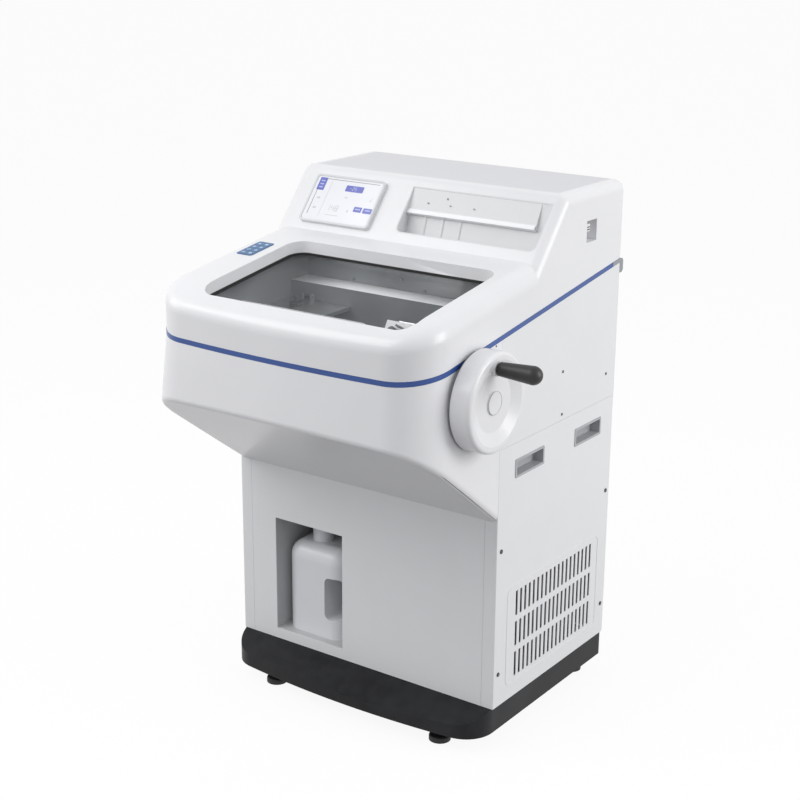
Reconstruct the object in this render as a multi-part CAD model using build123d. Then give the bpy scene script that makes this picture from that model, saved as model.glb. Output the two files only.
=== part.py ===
from build123d import *
import os
from math import asin, atan, cos, degrees, radians, sin, sqrt, tan

# Cryostat microtome: a floor-standing cold cabinet with a rotary microtome in
# its freezing chamber, turned by a handwheel on the right side.
# Lengths are in millimetres. The pieces are built round the middle of the
# cabinet's footprint: X to the right, Y to the rear, Z up from the floor.
# At the end all of them move together, so that the origin lies on the floor
# under the middle of the whole object's outer box.
# Heights in the upper half are measured down from the hood's top, depths from
# the nearer of the cabinet's front and rear, and places across from the
# nearer side, so that each zone keeps its size when the cabinet's changes.

# Cabinet
cabinet_width = 690.0
cabinet_depth = 480.0
plinth_bottom_z = 36.0
plinth_height = 59.0
side_panel_height = 581.0
upper_height = 484.0
sheet = 2.0
seam = 0.5
panel_flange = 30.0
half_width = cabinet_width / 2
half_depth = cabinet_depth / 2
plinth_top_z = plinth_bottom_z + plinth_height
side_seam_z = plinth_top_z + side_panel_height
overall_height = side_seam_z + upper_height

# Plinth and levelling feet
plinth_wall = 5.0
plinth_inset = 4.0
plinth_reach = 80.0
plinth_bow = 26.0
plinth_corner = 70.0
apron_drop = 36.0
base_tube = 30.0
gusset_lap = 9.5
gusset_height = 25.0
front_foot_x = half_width - 117.0
front_foot_y = -half_depth - 25.0
rear_foot_x = half_width - 55.0
rear_foot_y = half_depth - 45.0
foot_pad_radius = 24.0
foot_pad_height = 13.0
foot_stud_radius = 6.0
running_gap = 0.05

# Tilted joint line between the lower and the upper mouldings
tilt = 8.5
stripe_z = overall_height - 211.4
stripe_height = 10.0
stripe_proud = 0.8
stripe_thickness = 3.6
stripe_end_y = half_depth - 32.0
moulding_wall = 4.0

# Canopy, the body that overhangs the front
canopy_foot_z = overall_height - 639.9
canopy_low_z = overall_height - 660.0
canopy_high_z = overall_height - 240.0
canopy_low_half_width = half_width + 27.0
canopy_high_half_width = half_width - 2.5
canopy_low_front = half_depth + 328.0
canopy_high_front = half_depth + 285.0
front_bow = 14.0
corner_radius = 95.0
underside_angle = 36.7
canopy_round = 14.0
front_panel_lap = 40.0

# Upper moulding: rim, deck and hood
rim_front = half_depth + 290.0
deck_z = overall_height - 110.3
rim_round = 38.0
droop_start_y = -half_depth - 190.0
droop_radius = 200.0
hood_lean = 39.35
hood_front_y = -half_depth + 240.4
hood_foot_z = overall_height - 131.0
hood_bottom_z = overall_height - 220.0
hood_round = 22.0
window_left = -half_width + 113.0
window_right = half_width - 53.0
window_front = -half_depth - 248.0
window_rear = -half_depth + 72.0
window_corner = 36.0
gasket_height = 6.0
gasket_width = 4.0

# Sliding window
glass_top_z = overall_height - 142.0
glass_thickness = 5.0
glass_margin = 14.0
glass_lap = 8.0
glass_travel = 270.0
glass_clearance = 0.5
rail_engagement = 5.0
rail_wall = 3.0
rail_rear_y = window_rear + 2 * glass_lap + glass_travel

# Chamber
chamber_left = -half_width + 90.0
chamber_right = half_width - 59.0
chamber_rear = -half_depth + 140.0
chamber_front = -half_depth - 230.0
chamber_floor_z = overall_height - 540.0
chamber_knee_y = chamber_front + 145.0
chamber_lean = 37.2
liner_wall = 1.5
insulation_wall = 22.0
bearing_fit = 0.2
cover_front_y = chamber_rear - 60.0
cover_ledge_z = overall_height - 229.0
cover_bottom_z = chamber_floor_z + 20.0
cover_sheet = 1.2
shelf_z = cover_ledge_z - 38.0
shelf_width = 163.0
shelf_thickness = 8.0
extractor_x = chamber_left + 65.0
extractor_hinge_y = cover_front_y - 22.0
extractor_hinge_z = shelf_z + 13.0
extractor_reach = 44.0
guard_y = chamber_knee_y - 40.0

# Hood fittings, placed on the sloping front of the hood
display_left = -half_width + 60.0
display_right = display_left + 189.0
display_low = 24.0
display_high = 144.0
display_raise = 9.0
display_round = 9.0
screen_margin = 5.0
screen_depth = 2.5
pocket_left = display_right + 69.0
pocket_right = half_width - 27.0
pocket_low = 34.0
pocket_high = 144.0
pocket_depth = 42.0
pocket_top_depth = 1.0
pocket_wall = 2.0
pocket_round = 14.0
tray_shelf_low = 90.0
tray_shelf_depth = 12.0
tray_shelf_margin = 24.0
tray_ridge_pitch = 45.0
tray_ridge_count = 3
tray_ridge_radius = 5.0
lid_margin = 32.0
lid_front_y = hood_front_y + 13.6
lid_thickness = 2.5
keypad_x = -half_width + 66.0
keypad_y = window_rear - 84.0
keypad_width = 42.0
keypad_length = 80.0
keypad_thickness = 1.2
port_y = half_depth - 134.0
port_z = overall_height - 89.0
port_width = 42.0
port_height = 46.0

# Side vents and grips
vent_rows = 3
vent_width = 8.0
vent_length = 57.0
vent_pitch_y = 17.6
vent_pitch_z = 71.0
vent_margin = 75.0
vent_centre_y = 4.0
vent_centre_z = plinth_top_z + 145.5
vent_count = int((cabinet_depth - 2 * vent_margin) / vent_pitch_y) + 1
grip_length = 115.0
grip_height = 41.0
grip_depth = 24.0
grip_wall = 2.0
grip_z = side_seam_z - 56.5
grip_front_y = -half_depth + 120.5
grip_rear_y = half_depth - 114.0

# Bottle bay and waste bottle
bay_left = -half_width + 99.0
bay_right = bay_left + 190.0
bay_low_z = plinth_top_z + 25.0
bay_high_z = bay_low_z + 274.0
bay_depth = 170.0
bottle_width = 168.0
bottle_depth = 120.0
bottle_height = 214.0
bottle_corner = 40.0
bottle_shoulder = 36.0
bottle_setback = 22.0
bottle_wall = 2.5
bottle_x = (bay_left + bay_right) / 2 - 4.0
bottle_y = -half_depth + bottle_setback + bottle_depth / 2
bottle_handle_low = 47.0
bottle_handle_high = 150.0
bottle_handle_width = 44.0
bottle_handle_margin = 9.0
neck_x = bottle_x - 17.0
neck_radius = 24.0
neck_height = 34.0
cap_radius = 28.0
cap_height = 19.0
drain_radius = 9.0

# Handwheel and its drive
wheel_y = -half_depth - 100.0
wheel_z = overall_height - 348.0
wheel_back_x = half_width + 8.0
wheel_face_x = wheel_back_x + 48.0
wheel_radius = 101.0
wheel_rim = 15.0
wheel_dish = 10.0
wheel_cap_radius = 23.0
handle_offset = 70.0
handle_tip_x = wheel_face_x + 94.0
handle_base_radius = 14.0
handle_tip_radius = 18.5
handle_gap = 1.5
spindle_radius = 5.0
shaft_radius = 10.0
bearing_radius = 20.0
crank_y = wheel_y + 134.0
crank_z = wheel_z - 77.0
crank_shaft_radius = 8.0
bush_wall = 4.0
pulley_radius = 30.0
pulley_x = half_width - 29.0
pulley_width = 11.0
belt_thickness = 3.0
belt_gap = 0.3
drive_plate_x = half_width - 14.0
drive_plate_thickness = 4.0

# Frame posts
post = 25.0
front_post_top_z = wheel_z - 122.0
rear_post_top_z = overall_height - 205.0
frame_ring_z = bay_high_z + 70.0
rear_step_z = overall_height - 185.0

# Microtome
head_x = chamber_right - 110.0
column_width = 112.0
column_front_y = crank_y - 1.0
column_rear_y = column_front_y + 44.0
block_top_z = crank_z + 65.0
block_front_y = column_front_y - 191.0
column_top_z = block_top_z + 95.0
head_stroke = 59.0
crank_radius = head_stroke / 2
crank_disc_radius = crank_radius + 6.0
crank_pin_radius = 4.0
yoke_thickness = 10.0
head_rest_z = block_top_z + 66.0
carriage_width = 84.0
carriage_height = 80.0
carriage_thickness = 14.0
head_radius = 24.0

# Blade holder
blade_y = column_front_y - 94.0
blade_z = block_top_z + 128.0
holder_width = 136.0
holder_face_angle = 58.0
holder_radius = 110.0
holder_gap = 0.4
plate_thickness = 3.5
blade_thickness = 0.5
blade_width = 14.0
knob_x = head_x - 43.0
knob_down = 26.0
knob_radius = 9.5
lever_x = head_x - 5.0
lever_down = 21.0
lever_length = 33.0

# Refrigeration and controls in the lower cabinet
compressor_x = half_width - 250.0
compressor_y = half_depth - 170.0
compressor_radius = 88.0
compressor_height = 205.0
compressor_round = 38.0
condenser_x = half_width - 49.0
condenser_depth = 38.0
condenser_width = 240.0
condenser_height = 236.0
fan_radius = 88.0
fan_shaft_radius = 3.0
fan_blades = 5
fan_y = vent_centre_y
fan_z = plinth_top_z + 143.0
box_left = -half_width + 45.0
box_width = 180.0
box_depth = 151.0
box_height = 230.0
inlet_x = box_left + 70.0
inlet_z = plinth_top_z + 50.0
inlet_width = 47.0
inlet_height = 29.0

tilt_slope = tan(radians(tilt))
tilt_rise = 1 / cos(radians(tilt))
hood_slope = tan(radians(hood_lean))


def block(x, y, z):
    """Box between two coordinates along each axis."""
    centre = Pos((x[0] + x[1]) / 2, (y[0] + y[1]) / 2, (z[0] + z[1]) / 2)
    return centre * Box(x[1] - x[0], y[1] - y[0], z[1] - z[0])


def rod_x(radius, x, y, z):
    """Cylinder along X between two X coordinates."""
    return Pos((x[0] + x[1]) / 2, y, z) * Rot(0, 90, 0) * Cylinder(radius, x[1] - x[0])


def rod_y(radius, x, y, z):
    """Cylinder along Y between two Y coordinates."""
    return Pos(x, (y[0] + y[1]) / 2, z) * Rot(90, 0, 0) * Cylinder(radius, y[1] - y[0])


def rod_z(radius, x, y, z):
    """Cylinder along Z between two Z coordinates."""
    return Pos(x, y, (z[0] + z[1]) / 2) * Cylinder(radius, z[1] - z[0])


def prism_x(points, x):
    """Polygon of (y, z) points, extruded between two X coordinates."""
    face = Plane.YZ * make_face(Polyline(*points, close=True))
    return Pos(x[0], 0, 0) * extrude(face, x[1] - x[0], dir=(1, 0, 0))


def prism_z(face, z):
    """Face in the XY plane, extruded between two heights."""
    return extrude(Pos(0, 0, z[0]) * face, z[1] - z[0], dir=(0, 0, 1))


def spaced(first, last, pitch):
    """Places from first up to last at most, one pitch apart."""
    return [first + step * pitch for step in range(int((last - first) / pitch) + 1)]


def tilted(z):
    """Plane parallel to the stripe, at height z over the cabinet's middle."""
    angle = radians(tilt)
    return Plane(origin=(0, 0, z), x_dir=(1, 0, 0), z_dir=(0, -sin(angle), cos(angle)))


def above(shape, z):
    """What lies above the tilted plane at height z."""
    return split(shape, bisect_by=tilted(z), keep=Keep.TOP)


def below(shape, z):
    """What lies below the tilted plane at height z."""
    return split(shape, bisect_by=tilted(z), keep=Keep.BOTTOM)


def tilted_z(z, y):
    """Height of the tilted plane at a distance y from the cabinet's middle."""
    return z + tilt_slope * y


def both_sides(shape):
    """The shape and its mirror image in the plane X = 0."""
    return [shape, mirror(shape, about=Plane.YZ)]


def bowed_outline(front_half, rear_half, front, rear, corner, bow=front_bow):
    """Plan outline with a square rear, rounded corners and a bowed front."""
    side_y = -front + bow
    nose = ThreePointArc((-front_half, side_y), (0, -front), (front_half, side_y))
    right = [(front_half, side_y), (rear_half, -half_depth), (rear_half, rear)]
    left = [(-x, y) for x, y in reversed(right)]
    if front_half == rear_half:
        right.pop(1)
        left.pop(1)
    edges = [nose, Polyline(*right), Line(right[-1], left[0]), Polyline(*left)]
    face = make_face(edges)
    return fillet(face.vertices().sort_by(Axis.Y)[:2], corner)


# Upper moulding
def rim_form(grow, rear):
    """Rim and deck as a solid, larger by grow all round."""
    face = bowed_outline(half_width + grow, half_width + grow, rim_front + grow, rear, corner_radius + grow)
    walls = prism_z(face, (canopy_low_z, overall_height))
    angle = radians(tilt)
    centre_y = droop_start_y + droop_radius * sin(angle)
    centre_z = tilted_z(deck_z, droop_start_y) - droop_radius * cos(angle)
    reach = droop_radius + grow

    def on_arc(turn):
        return centre_y - reach * sin(angle + turn), centre_z + reach * cos(angle + turn)

    start = on_arc(0)
    end = on_arc(radians(42))
    far_y = cabinet_depth
    far = (far_y, start[1] + (far_y - start[0]) * tilt_slope)
    top = overall_height + cabinet_depth
    deck = [Line(far, start), ThreePointArc(start, on_arc(radians(21)), end)]
    lid = Polyline(end, (end[0], top), (far_y, top), far)
    cutter = extrude(Plane.YZ * make_face(deck + [lid]), cabinet_width, both=True)
    body = (walls - cutter).solid()
    edges = []
    for face in body.faces():
        if face.normal_at().Z < 0.5:
            continue
        for edge in face.edges():
            middle = edge.center()
            is_rear = abs(middle.Y - rear) < 1
            is_droop_line = abs(middle.X) < 1 and middle.Y > -rim_front + rim_round
            if not is_rear and not is_droop_line:
                edges.append(edge)
    return body.fillet(rim_round + grow, edges)


def hood_form(grow, rear, bottom):
    """Hood as a solid, larger by grow all round."""
    shift = grow / cos(radians(hood_lean))
    top = overall_height + grow

    def front_y(z):
        return hood_front_y + hood_slope * (z - overall_height) - shift

    side = half_width + grow
    points = [(front_y(bottom), bottom), (front_y(top), top), (rear, top), (rear, bottom)]
    body = prism_x(points, (-side, side)).solid()
    edges = []
    for edge in body.edges():
        middle = edge.center()
        on_top = middle.Z > top - 0.1 and middle.Y < rear - 1
        on_front = abs(middle.Y - front_y(middle.Z)) < 0.1 and middle.Z > bottom + 1
        if on_top or on_front:
            edges.append(edge)
    return body.fillet(hood_round + grow, edges)


def window_prism(grow):
    """Upright prism through the window opening, larger by grow all round."""
    width = window_right - window_left + 2 * grow
    length = window_rear - window_front + 2 * grow
    centre = Pos((window_left + window_right) / 2, (window_front + window_rear) / 2)
    face = centre * RectangleRounded(width, length, window_corner + grow)
    return prism_z(face, (chamber_floor_z, overall_height))


def hood_plane():
    """Frame on the sloping front of the hood: X right, Y up the slope, Z out."""
    angle = radians(hood_lean)
    foot_y = hood_front_y + hood_slope * (hood_foot_z - overall_height)
    return Plane(origin=(0, foot_y, hood_foot_z), x_dir=(1, 0, 0), z_dir=(0, -cos(angle), sin(angle)))


def on_hood(width_range, slope_range, depth_range, radius=0.0):
    """Rounded slab on the hood's front: depth 0 is the surface, + is outwards."""
    width = width_range[1] - width_range[0]
    length = slope_range[1] - slope_range[0]
    centre = Pos(sum(width_range) / 2, sum(slope_range) / 2, depth_range[0])
    face = RectangleRounded(width, length, radius) if radius else Rectangle(width, length)
    return hood_plane() * (centre * extrude(face, depth_range[1] - depth_range[0]))


def hood_prism(points, x):
    """Side outline of (up the slope, outwards) points, extruded across the hood."""
    side = Plane(origin=(x[0], 0, 0), x_dir=(0, 1, 0), z_dir=(1, 0, 0))
    face = side * make_face(Polyline(*points, close=True))
    return extrude(face, x[1] - x[0], dir=(1, 0, 0))


def pocket_wedge(grow, reach):
    """Wedge that gets deeper down the slope, cut or filled for the tray."""
    low = pocket_low - grow
    high = pocket_high + grow
    points = [(low, reach), (low, -pocket_depth - grow), (high, -pocket_top_depth - grow), (high, reach)]
    wedge = hood_prism(points, (pocket_left - grow, pocket_right + grow))
    along_depth = [e for e in wedge.edges() if abs(e.center().Y - low) < 0.1 and abs(e.tangent_at().X) < 0.1]
    wedge = fillet(along_depth, pocket_round + grow)
    return hood_plane() * wedge


def tray_shelf():
    """Upper part of the tray's floor, which ends in a step over the deep part."""
    points = [(pocket_high, 0), (pocket_high, -pocket_depth), (tray_shelf_low, -pocket_depth),
              (tray_shelf_low, -tray_shelf_depth), (pocket_high - 1, -pocket_top_depth)]
    shelf = hood_plane() * hood_prism(points, (pocket_left - 1, pocket_right - tray_shelf_margin))
    return shelf & pocket_wedge(pocket_wall / 2, 0)


def tray_ridges():
    """Soft ridges that part the left end of the tray's deep part."""
    fall = (pocket_depth - pocket_top_depth) / (pocket_high - pocket_low)
    depth = -pocket_depth + fall * (tray_shelf_low - pocket_low) / 2 - tray_ridge_radius * 0.6
    middle = (tray_shelf_low + pocket_low) / 2
    ridges = []
    for step in range(1, tray_ridge_count + 1):
        turn = Rot(degrees(atan(fall)), 0, 0) * Rot(90, 0, 0)
        start = Pos(pocket_left + step * tray_ridge_pitch, middle, depth)
        rod = start * turn * Cylinder(tray_ridge_radius, 90)
        below_shelf = on_hood((pocket_left, pocket_right), (pocket_low - 1, tray_shelf_low),
                              (-pocket_depth - 1, 0))
        ridges.append(hood_plane() * rod & pocket_wedge(pocket_wall / 2, 0) & below_shelf)
    return ridges


def make_top_cover():
    open_rear = half_depth + 60
    outer = rim_form(0, half_depth) + hood_form(0, half_depth, hood_bottom_z)
    inner = rim_form(-moulding_wall, open_rear) + hood_form(-moulding_wall, open_rear, canopy_low_z)
    shell = outer - inner
    gasket_top = glass_top_z + (glass_clearance + gasket_height) * tilt_rise
    skirt = above(window_prism(moulding_wall), gasket_top) & outer
    shell = above(shell, stripe_z + (stripe_height / 2 + seam / 2) * tilt_rise) + skirt
    shell -= window_prism(0)
    shell -= pocket_wedge(pocket_wall + seam / 2, moulding_wall)
    cable_x = display_left + 65
    cable_hole = on_hood((cable_x, cable_x + 60), (60, 108), (-moulding_wall * 2, moulding_wall * 2))
    shell -= cable_hole
    lid_hole = lid_margin + 8
    shell -= block((-half_width + lid_hole, half_width - lid_hole), (lid_front_y + 8, half_depth - 20),
                   (overall_height - moulding_wall - 1, overall_height + 1))
    lid_seat = lid_margin - seam
    shell -= block((-half_width + lid_seat, half_width - lid_seat), (lid_front_y - seam, half_depth + 1),
                   (overall_height - lid_thickness, overall_height + 1))
    half = (port_width / 2, port_height / 2)
    recess = block((half_width - 24, half_width - 1), (port_y - half[0] - 2, port_y + half[0] + 2),
                   (port_z - half[1] - 2, port_z + half[1] + 2))
    hollow = block((half_width - 22, half_width + 1), (port_y - half[0], port_y + half[0]),
                   (port_z - half[1], port_z + half[1]))
    socket = block((half_width - 23, half_width - 9), (port_y - 8, port_y + 8), (port_z - 3, port_z + 13))
    shell = shell + recess - hollow + socket
    return shell.solid()


def make_hood_parts():
    nodes = {}
    nodes["hood_lid"] = block((-half_width + lid_margin, half_width - lid_margin), (lid_front_y, half_depth),
                              (overall_height - lid_thickness, overall_height))
    bezel = on_hood((display_left, display_right), (display_low, display_high), (0, display_raise),
                    display_round)
    recess = on_hood((display_left + screen_margin, display_right - screen_margin),
                     (display_low + screen_margin, display_high - screen_margin),
                     (display_raise - screen_depth, display_raise + 1), display_round - 3)
    core = on_hood((display_left + 14, display_right - 14), (display_low + 14, display_high - 14),
                   (-1, display_raise - screen_depth + 1))
    nodes["display_bezel"] = bezel - recess - core
    nodes["touch_screen"] = on_hood((display_left + screen_margin + 0.3, display_right - screen_margin - 0.3),
                                    (display_low + screen_margin + 0.3, display_high - screen_margin - 0.3),
                                    (display_raise - screen_depth, display_raise - 0.8), display_round - 3.3)
    tray = pocket_wedge(pocket_wall, 0) - pocket_wedge(0, 1)
    nodes["tool_tray"] = (tray + tray_shelf() + tray_ridges()).solid()
    lip = [(tray_shelf_low - 3.5, -tray_shelf_depth + 3), (tray_shelf_low - 3.5, -tray_shelf_depth - 6),
           (tray_shelf_low - 0.3, -tray_shelf_depth - 6), (tray_shelf_low - 0.3, -tray_shelf_depth + 0.4),
           (tray_shelf_low + 6, -tray_shelf_depth + 1.8), (tray_shelf_low + 6, -tray_shelf_depth + 3.6)]
    lip_x = (pocket_left + seam, pocket_right - tray_shelf_margin - 1)
    nodes["tool_tray_bar"] = hood_plane() * hood_prism(lip, lip_x)
    pad = Pos(keypad_x, keypad_y) * RectangleRounded(keypad_width, keypad_length, 5)
    keypad = prism_z(pad, (chamber_floor_z, overall_height))
    nodes["keypad"] = above(below(keypad, deck_z + keypad_thickness), deck_z)
    return nodes


# Canopy and stripe
def canopy_form(grow):
    """Overhanging body between its flared low outline and its high outline."""
    low = bowed_outline(canopy_low_half_width + grow, half_width + grow, canopy_low_front + grow,
                        0, corner_radius + grow)
    high = bowed_outline(canopy_high_half_width + grow, half_width + grow, canopy_high_front + grow,
                         0, corner_radius + grow)
    form = loft([Pos(0, 0, canopy_low_z) * low, Pos(0, 0, canopy_high_z) * high], ruled=True)
    angle = radians(underside_angle)
    foot = (0, -half_depth, canopy_foot_z - grow / cos(angle))
    underside = Plane(origin=foot, x_dir=(1, 0, 0), z_dir=(0, sin(angle), cos(angle)))
    return split(form, bisect_by=underside, keep=Keep.TOP)


def make_canopy():
    outer = canopy_form(0)
    front = block((-cabinet_width, cabinet_width), (-3 * half_depth, -half_depth - seam),
                  (canopy_low_z, canopy_high_z))
    outer = (outer & front).solid()
    bottom = [f for f in outer.faces() if f.normal_at().Z < -0.5][0]
    edges = [e for e in bottom.edges() if e.center().Y < -half_depth - seam - 1]
    outer = outer.fillet(canopy_round, edges)
    shell = outer - canopy_form(-moulding_wall)
    shell = below(shell, stripe_z - (stripe_height / 2 + seam / 2) * tilt_rise)
    shell -= rod_x(bearing_radius + 1.0, (half_width - 20, half_width + 20), wheel_y, wheel_z)
    return shell.solid()


def outline_ring(outward, thickness):
    """Upright ring that follows the rim's plan outline."""
    def wall(grow, rear):
        face = bowed_outline(half_width + grow, half_width + grow, rim_front + grow, rear,
                             corner_radius + grow)
        return prism_z(face, (canopy_low_z, overall_height))
    return wall(outward, half_depth) - wall(outward - thickness, half_depth + 1)


def make_stripe():
    half = stripe_height / 2 * tilt_rise
    band = above(below(outline_ring(stripe_proud, stripe_thickness), stripe_z + half), stripe_z - half)
    across = (-cabinet_width, cabinet_width)
    front = block(across, (-2 * rim_front, stripe_end_y), (canopy_low_z, overall_height))
    rear = block(across, (stripe_end_y + 0.3, half_depth), (canopy_low_z, overall_height))
    caps = []
    for tail in (band & rear).solids():
        side = 1 if tail.center().X > 0 else -1
        x = sorted((side * (half_width - 26), side * (half_width + stripe_proud)))
        tail_z = tilted_z(stripe_z, half_depth)
        spacer = block(x, (half_depth, half_depth + 14), (tail_z - 28, tail_z + 3.5))
        corners = [e for e in spacer.edges().filter_by(Axis.X) if e.center().Y > half_depth + 10]
        bridge = block(x, (half_depth - 3, half_depth + 1), (tail_z - 3.5, tail_z + 3.5))
        caps.append((tail + bridge + fillet(corners, 8)).solid())
    return (band & front).solid(), caps


# Lower cabinet
def make_side_panel():
    """Right side panel: web with vents and grip holes, front and rear flanges."""
    height = side_seam_z - plinth_top_z
    middle_z = (side_seam_z + plinth_top_z) / 2
    web = Pos(0, middle_z) * Rectangle(cabinet_depth, height)
    grid = GridLocations(vent_pitch_y, vent_pitch_z, vent_count, vent_rows)
    slots = Pos(vent_centre_y, vent_centre_z) * grid
    web -= slots * Rectangle(vent_width, vent_length)
    for y in (grip_front_y, grip_rear_y):
        web -= Pos(y, grip_z) * Rectangle(grip_length - 6, grip_height - 6)
    panel = Pos(half_width - sheet, 0, 0) * extrude(Plane.YZ * web, sheet)
    flange_x = (half_width - panel_flange, half_width)
    front_flange_top = min(side_seam_z, front_post_top_z - 14)
    panel += block(flange_x, (-half_depth, -half_depth + sheet), (plinth_top_z, front_flange_top))
    panel += block(flange_x, (half_depth - sheet, half_depth), (plinth_top_z, side_seam_z))
    upright = panel.edges().filter_by(Axis.Z)
    folds = [e for e in upright if e.center().X > half_width - 0.1 and e.length > height / 2]
    panel = fillet([e for e in folds if abs(e.center().Y) > half_depth - 0.1], sheet)
    frame_width = cabinet_depth - 2 * vent_margin + 64
    frame_height = (vent_rows - 1) * vent_pitch_z + vent_length + 32
    rib = RectangleRounded(frame_width, frame_height, 20)
    rib -= RectangleRounded(frame_width - 10, frame_height - 10, 15)
    rib = Plane.YZ * (Pos(vent_centre_y, vent_centre_z) * rib)
    panel += Pos(half_width - 0.2, 0, 0) * extrude(rib, 1.0)
    return panel.solid()


def make_grips():
    """Two recessed grips of the right side panel."""
    grips = []
    for y in (grip_front_y, grip_rear_y):
        face = block((half_width, half_width + 1.6), (y - grip_length / 2, y + grip_length / 2),
                     (grip_z - grip_height / 2, grip_z + grip_height / 2))
        face = fillet(face.edges().filter_by(Axis.X), 3)
        body = block((half_width - grip_depth, half_width),
                     (y - grip_length / 2 + 3.2, y + grip_length / 2 - 3.2),
                     (grip_z - grip_height / 2 + 3.2, grip_z + grip_height / 2 - 3.2))
        inset = 3.2 + grip_wall
        hollow = block((half_width - grip_depth + grip_wall, half_width + 5),
                       (y - grip_length / 2 + inset, y + grip_length / 2 - inset),
                       (grip_z - grip_height / 2 + inset, grip_z + grip_height / 2 - inset))
        grips.append((face + body - hollow).solid())
    return grips


def make_upper_side_panel():
    web = block((half_width - sheet, half_width), (-half_depth, half_depth),
                (side_seam_z + seam, overall_height))
    web += block((half_width - panel_flange, half_width), (half_depth - sheet, half_depth),
                 (side_seam_z + seam, overall_height))
    return below(web, stripe_z - (stripe_height / 2 + seam / 2) * tilt_rise).solid()


def make_front_panel():
    side = half_width - panel_flange - seam
    top = canopy_foot_z + front_panel_lap
    panel = block((-side, side), (-half_depth, -half_depth + sheet), (plinth_top_z, top))
    opening = block((bay_left, bay_right), (-half_depth - 1, -half_depth + sheet + 1),
                    (bay_low_z, bay_high_z))
    return (panel - opening).solid()


def make_bottle_bay():
    rear_y = -half_depth + sheet + bay_depth
    outer = block((bay_left - sheet, bay_right + sheet), (-half_depth + sheet, rear_y + sheet),
                  (bay_low_z - sheet, bay_high_z + sheet))
    inner = block((bay_left, bay_right), (-half_depth - 1, rear_y), (bay_low_z, bay_high_z))
    hole = rod_z(drain_radius + 5, neck_x, bottle_y, (bay_high_z - 1, bay_high_z + sheet + 1))
    return (outer - inner - hole).solid()


def make_bottle():
    low = bay_low_z
    shoulder_z = low + bottle_height
    top = shoulder_z + neck_height
    grip_right = bottle_x + bottle_width / 2 - bottle_handle_margin
    grip_left = grip_right - bottle_handle_width

    def form(inset):
        width = bottle_width - 2 * inset
        depth = bottle_depth - 2 * inset
        face = Pos(bottle_x, bottle_y) * RectangleRounded(width, depth, bottle_corner - inset)
        body = prism_z(face, (low + inset, shoulder_z - inset)).solid()
        shoulder = [e for e in body.edges() if e.center().Z > shoulder_z - inset - 0.1]
        body = body.fillet(bottle_shoulder - inset, shoulder)
        handle = block((grip_left - inset, grip_right + inset), (bottle_y - 100, bottle_y + 100),
                       (low + bottle_handle_low - inset, low + bottle_handle_high + inset))
        return body - fillet(handle.edges().filter_by(Axis.Y), 14 + inset)

    neck = rod_z(neck_radius, neck_x, bottle_y, (shoulder_z - 2, top))
    body = form(0) + neck - form(bottle_wall)
    body -= rod_z(neck_radius - bottle_wall, neck_x, bottle_y, (shoulder_z - 4, top + 1))
    cap = rod_z(cap_radius, neck_x, bottle_y, (top + 0.3, top + 0.3 + cap_height)).solid()
    cap = fillet(cap.edges().sort_by(Axis.Z)[-1], 2.5)
    return body.solid(), cap


def make_rear_panel():
    side = half_width - panel_flange - seam
    height = side_seam_z - plinth_top_z
    web = Pos(0, (side_seam_z + plinth_top_z) / 2) * Rectangle(2 * side, height)
    louvres = Pos(0, vent_centre_z + 60) * GridLocations(80, 22, 6, 8)
    web -= louvres * Rectangle(62, 7)
    web -= Pos(inlet_x, inlet_z) * Rectangle(inlet_width + 2 * seam, inlet_height + 2 * seam)
    return (Pos(0, half_depth, 0) * extrude(Plane.XZ * web, sheet)).solid()


def make_upper_rear_panel():
    side = half_width - panel_flange - seam
    low = block((-side, side), (half_depth - sheet, half_depth), (side_seam_z - 1, rear_step_z))
    inner_side = half_width - moulding_wall - seam
    high = block((-inner_side, inner_side), (half_depth - 6, half_depth - 4),
                 (rear_step_z - 12, overall_height - moulding_wall - 1))
    high = fillet(high.edges().filter_by(Axis.Y).sort_by(Axis.Z)[-2:], hood_round)
    step = block((-side, side), (half_depth - 6, half_depth), (rear_step_z - 12, rear_step_z))
    panel = low + high + step
    for x in spaced(-200, 200, 80):
        for z in spaced(overall_height - 115, overall_height - 55, 20):
            panel -= block((x - 31, x + 31), (half_depth - 12, half_depth + 1), (z - 3.5, z + 3.5))
    return panel.solid()


def make_plinth():
    side = half_width - plinth_inset
    front = half_depth + plinth_reach

    def form(grow):
        return bowed_outline(side + grow, side + grow, front + grow, half_depth - plinth_inset + grow,
                             plinth_corner + grow, plinth_bow)

    def apron(drop):
        front_y = -front - 20
        rise = apron_drop / plinth_reach
        low = plinth_top_z - drop + rise * (front_y + half_depth)
        top = plinth_top_z + 100
        return prism_x([(front_y, low), (-half_depth, plinth_top_z - drop), (-half_depth, top),
                        (front_y, top)],
                       (-cabinet_width, cabinet_width))

    outer = prism_z(form(0), (plinth_bottom_z, plinth_top_z)) - apron(0)
    inner = prism_z(form(-plinth_wall),
                    (plinth_bottom_z - 1, plinth_top_z - plinth_wall)) - apron(plinth_wall)
    rim = plinth_inset + plinth_wall + seam
    opening = block((-half_width + rim, half_width - rim), (-half_depth + rim, half_depth - rim),
                    (plinth_top_z - plinth_wall - 1, plinth_top_z + 1))
    return (outer - inner - opening).solid()


def feet_positions():
    front = [(-front_foot_x, front_foot_y), (front_foot_x, front_foot_y)]
    rear = [(-rear_foot_x, rear_foot_y), (rear_foot_x, rear_foot_y)]
    return dict(zip(("front_left_foot", "front_right_foot", "rear_left_foot", "rear_right_foot"),
                    front + rear))


def base_levels():
    """Bottom and top of the welded base ring inside the plinth."""
    top = plinth_top_z - plinth_wall - seam
    return top - base_tube, top


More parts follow.
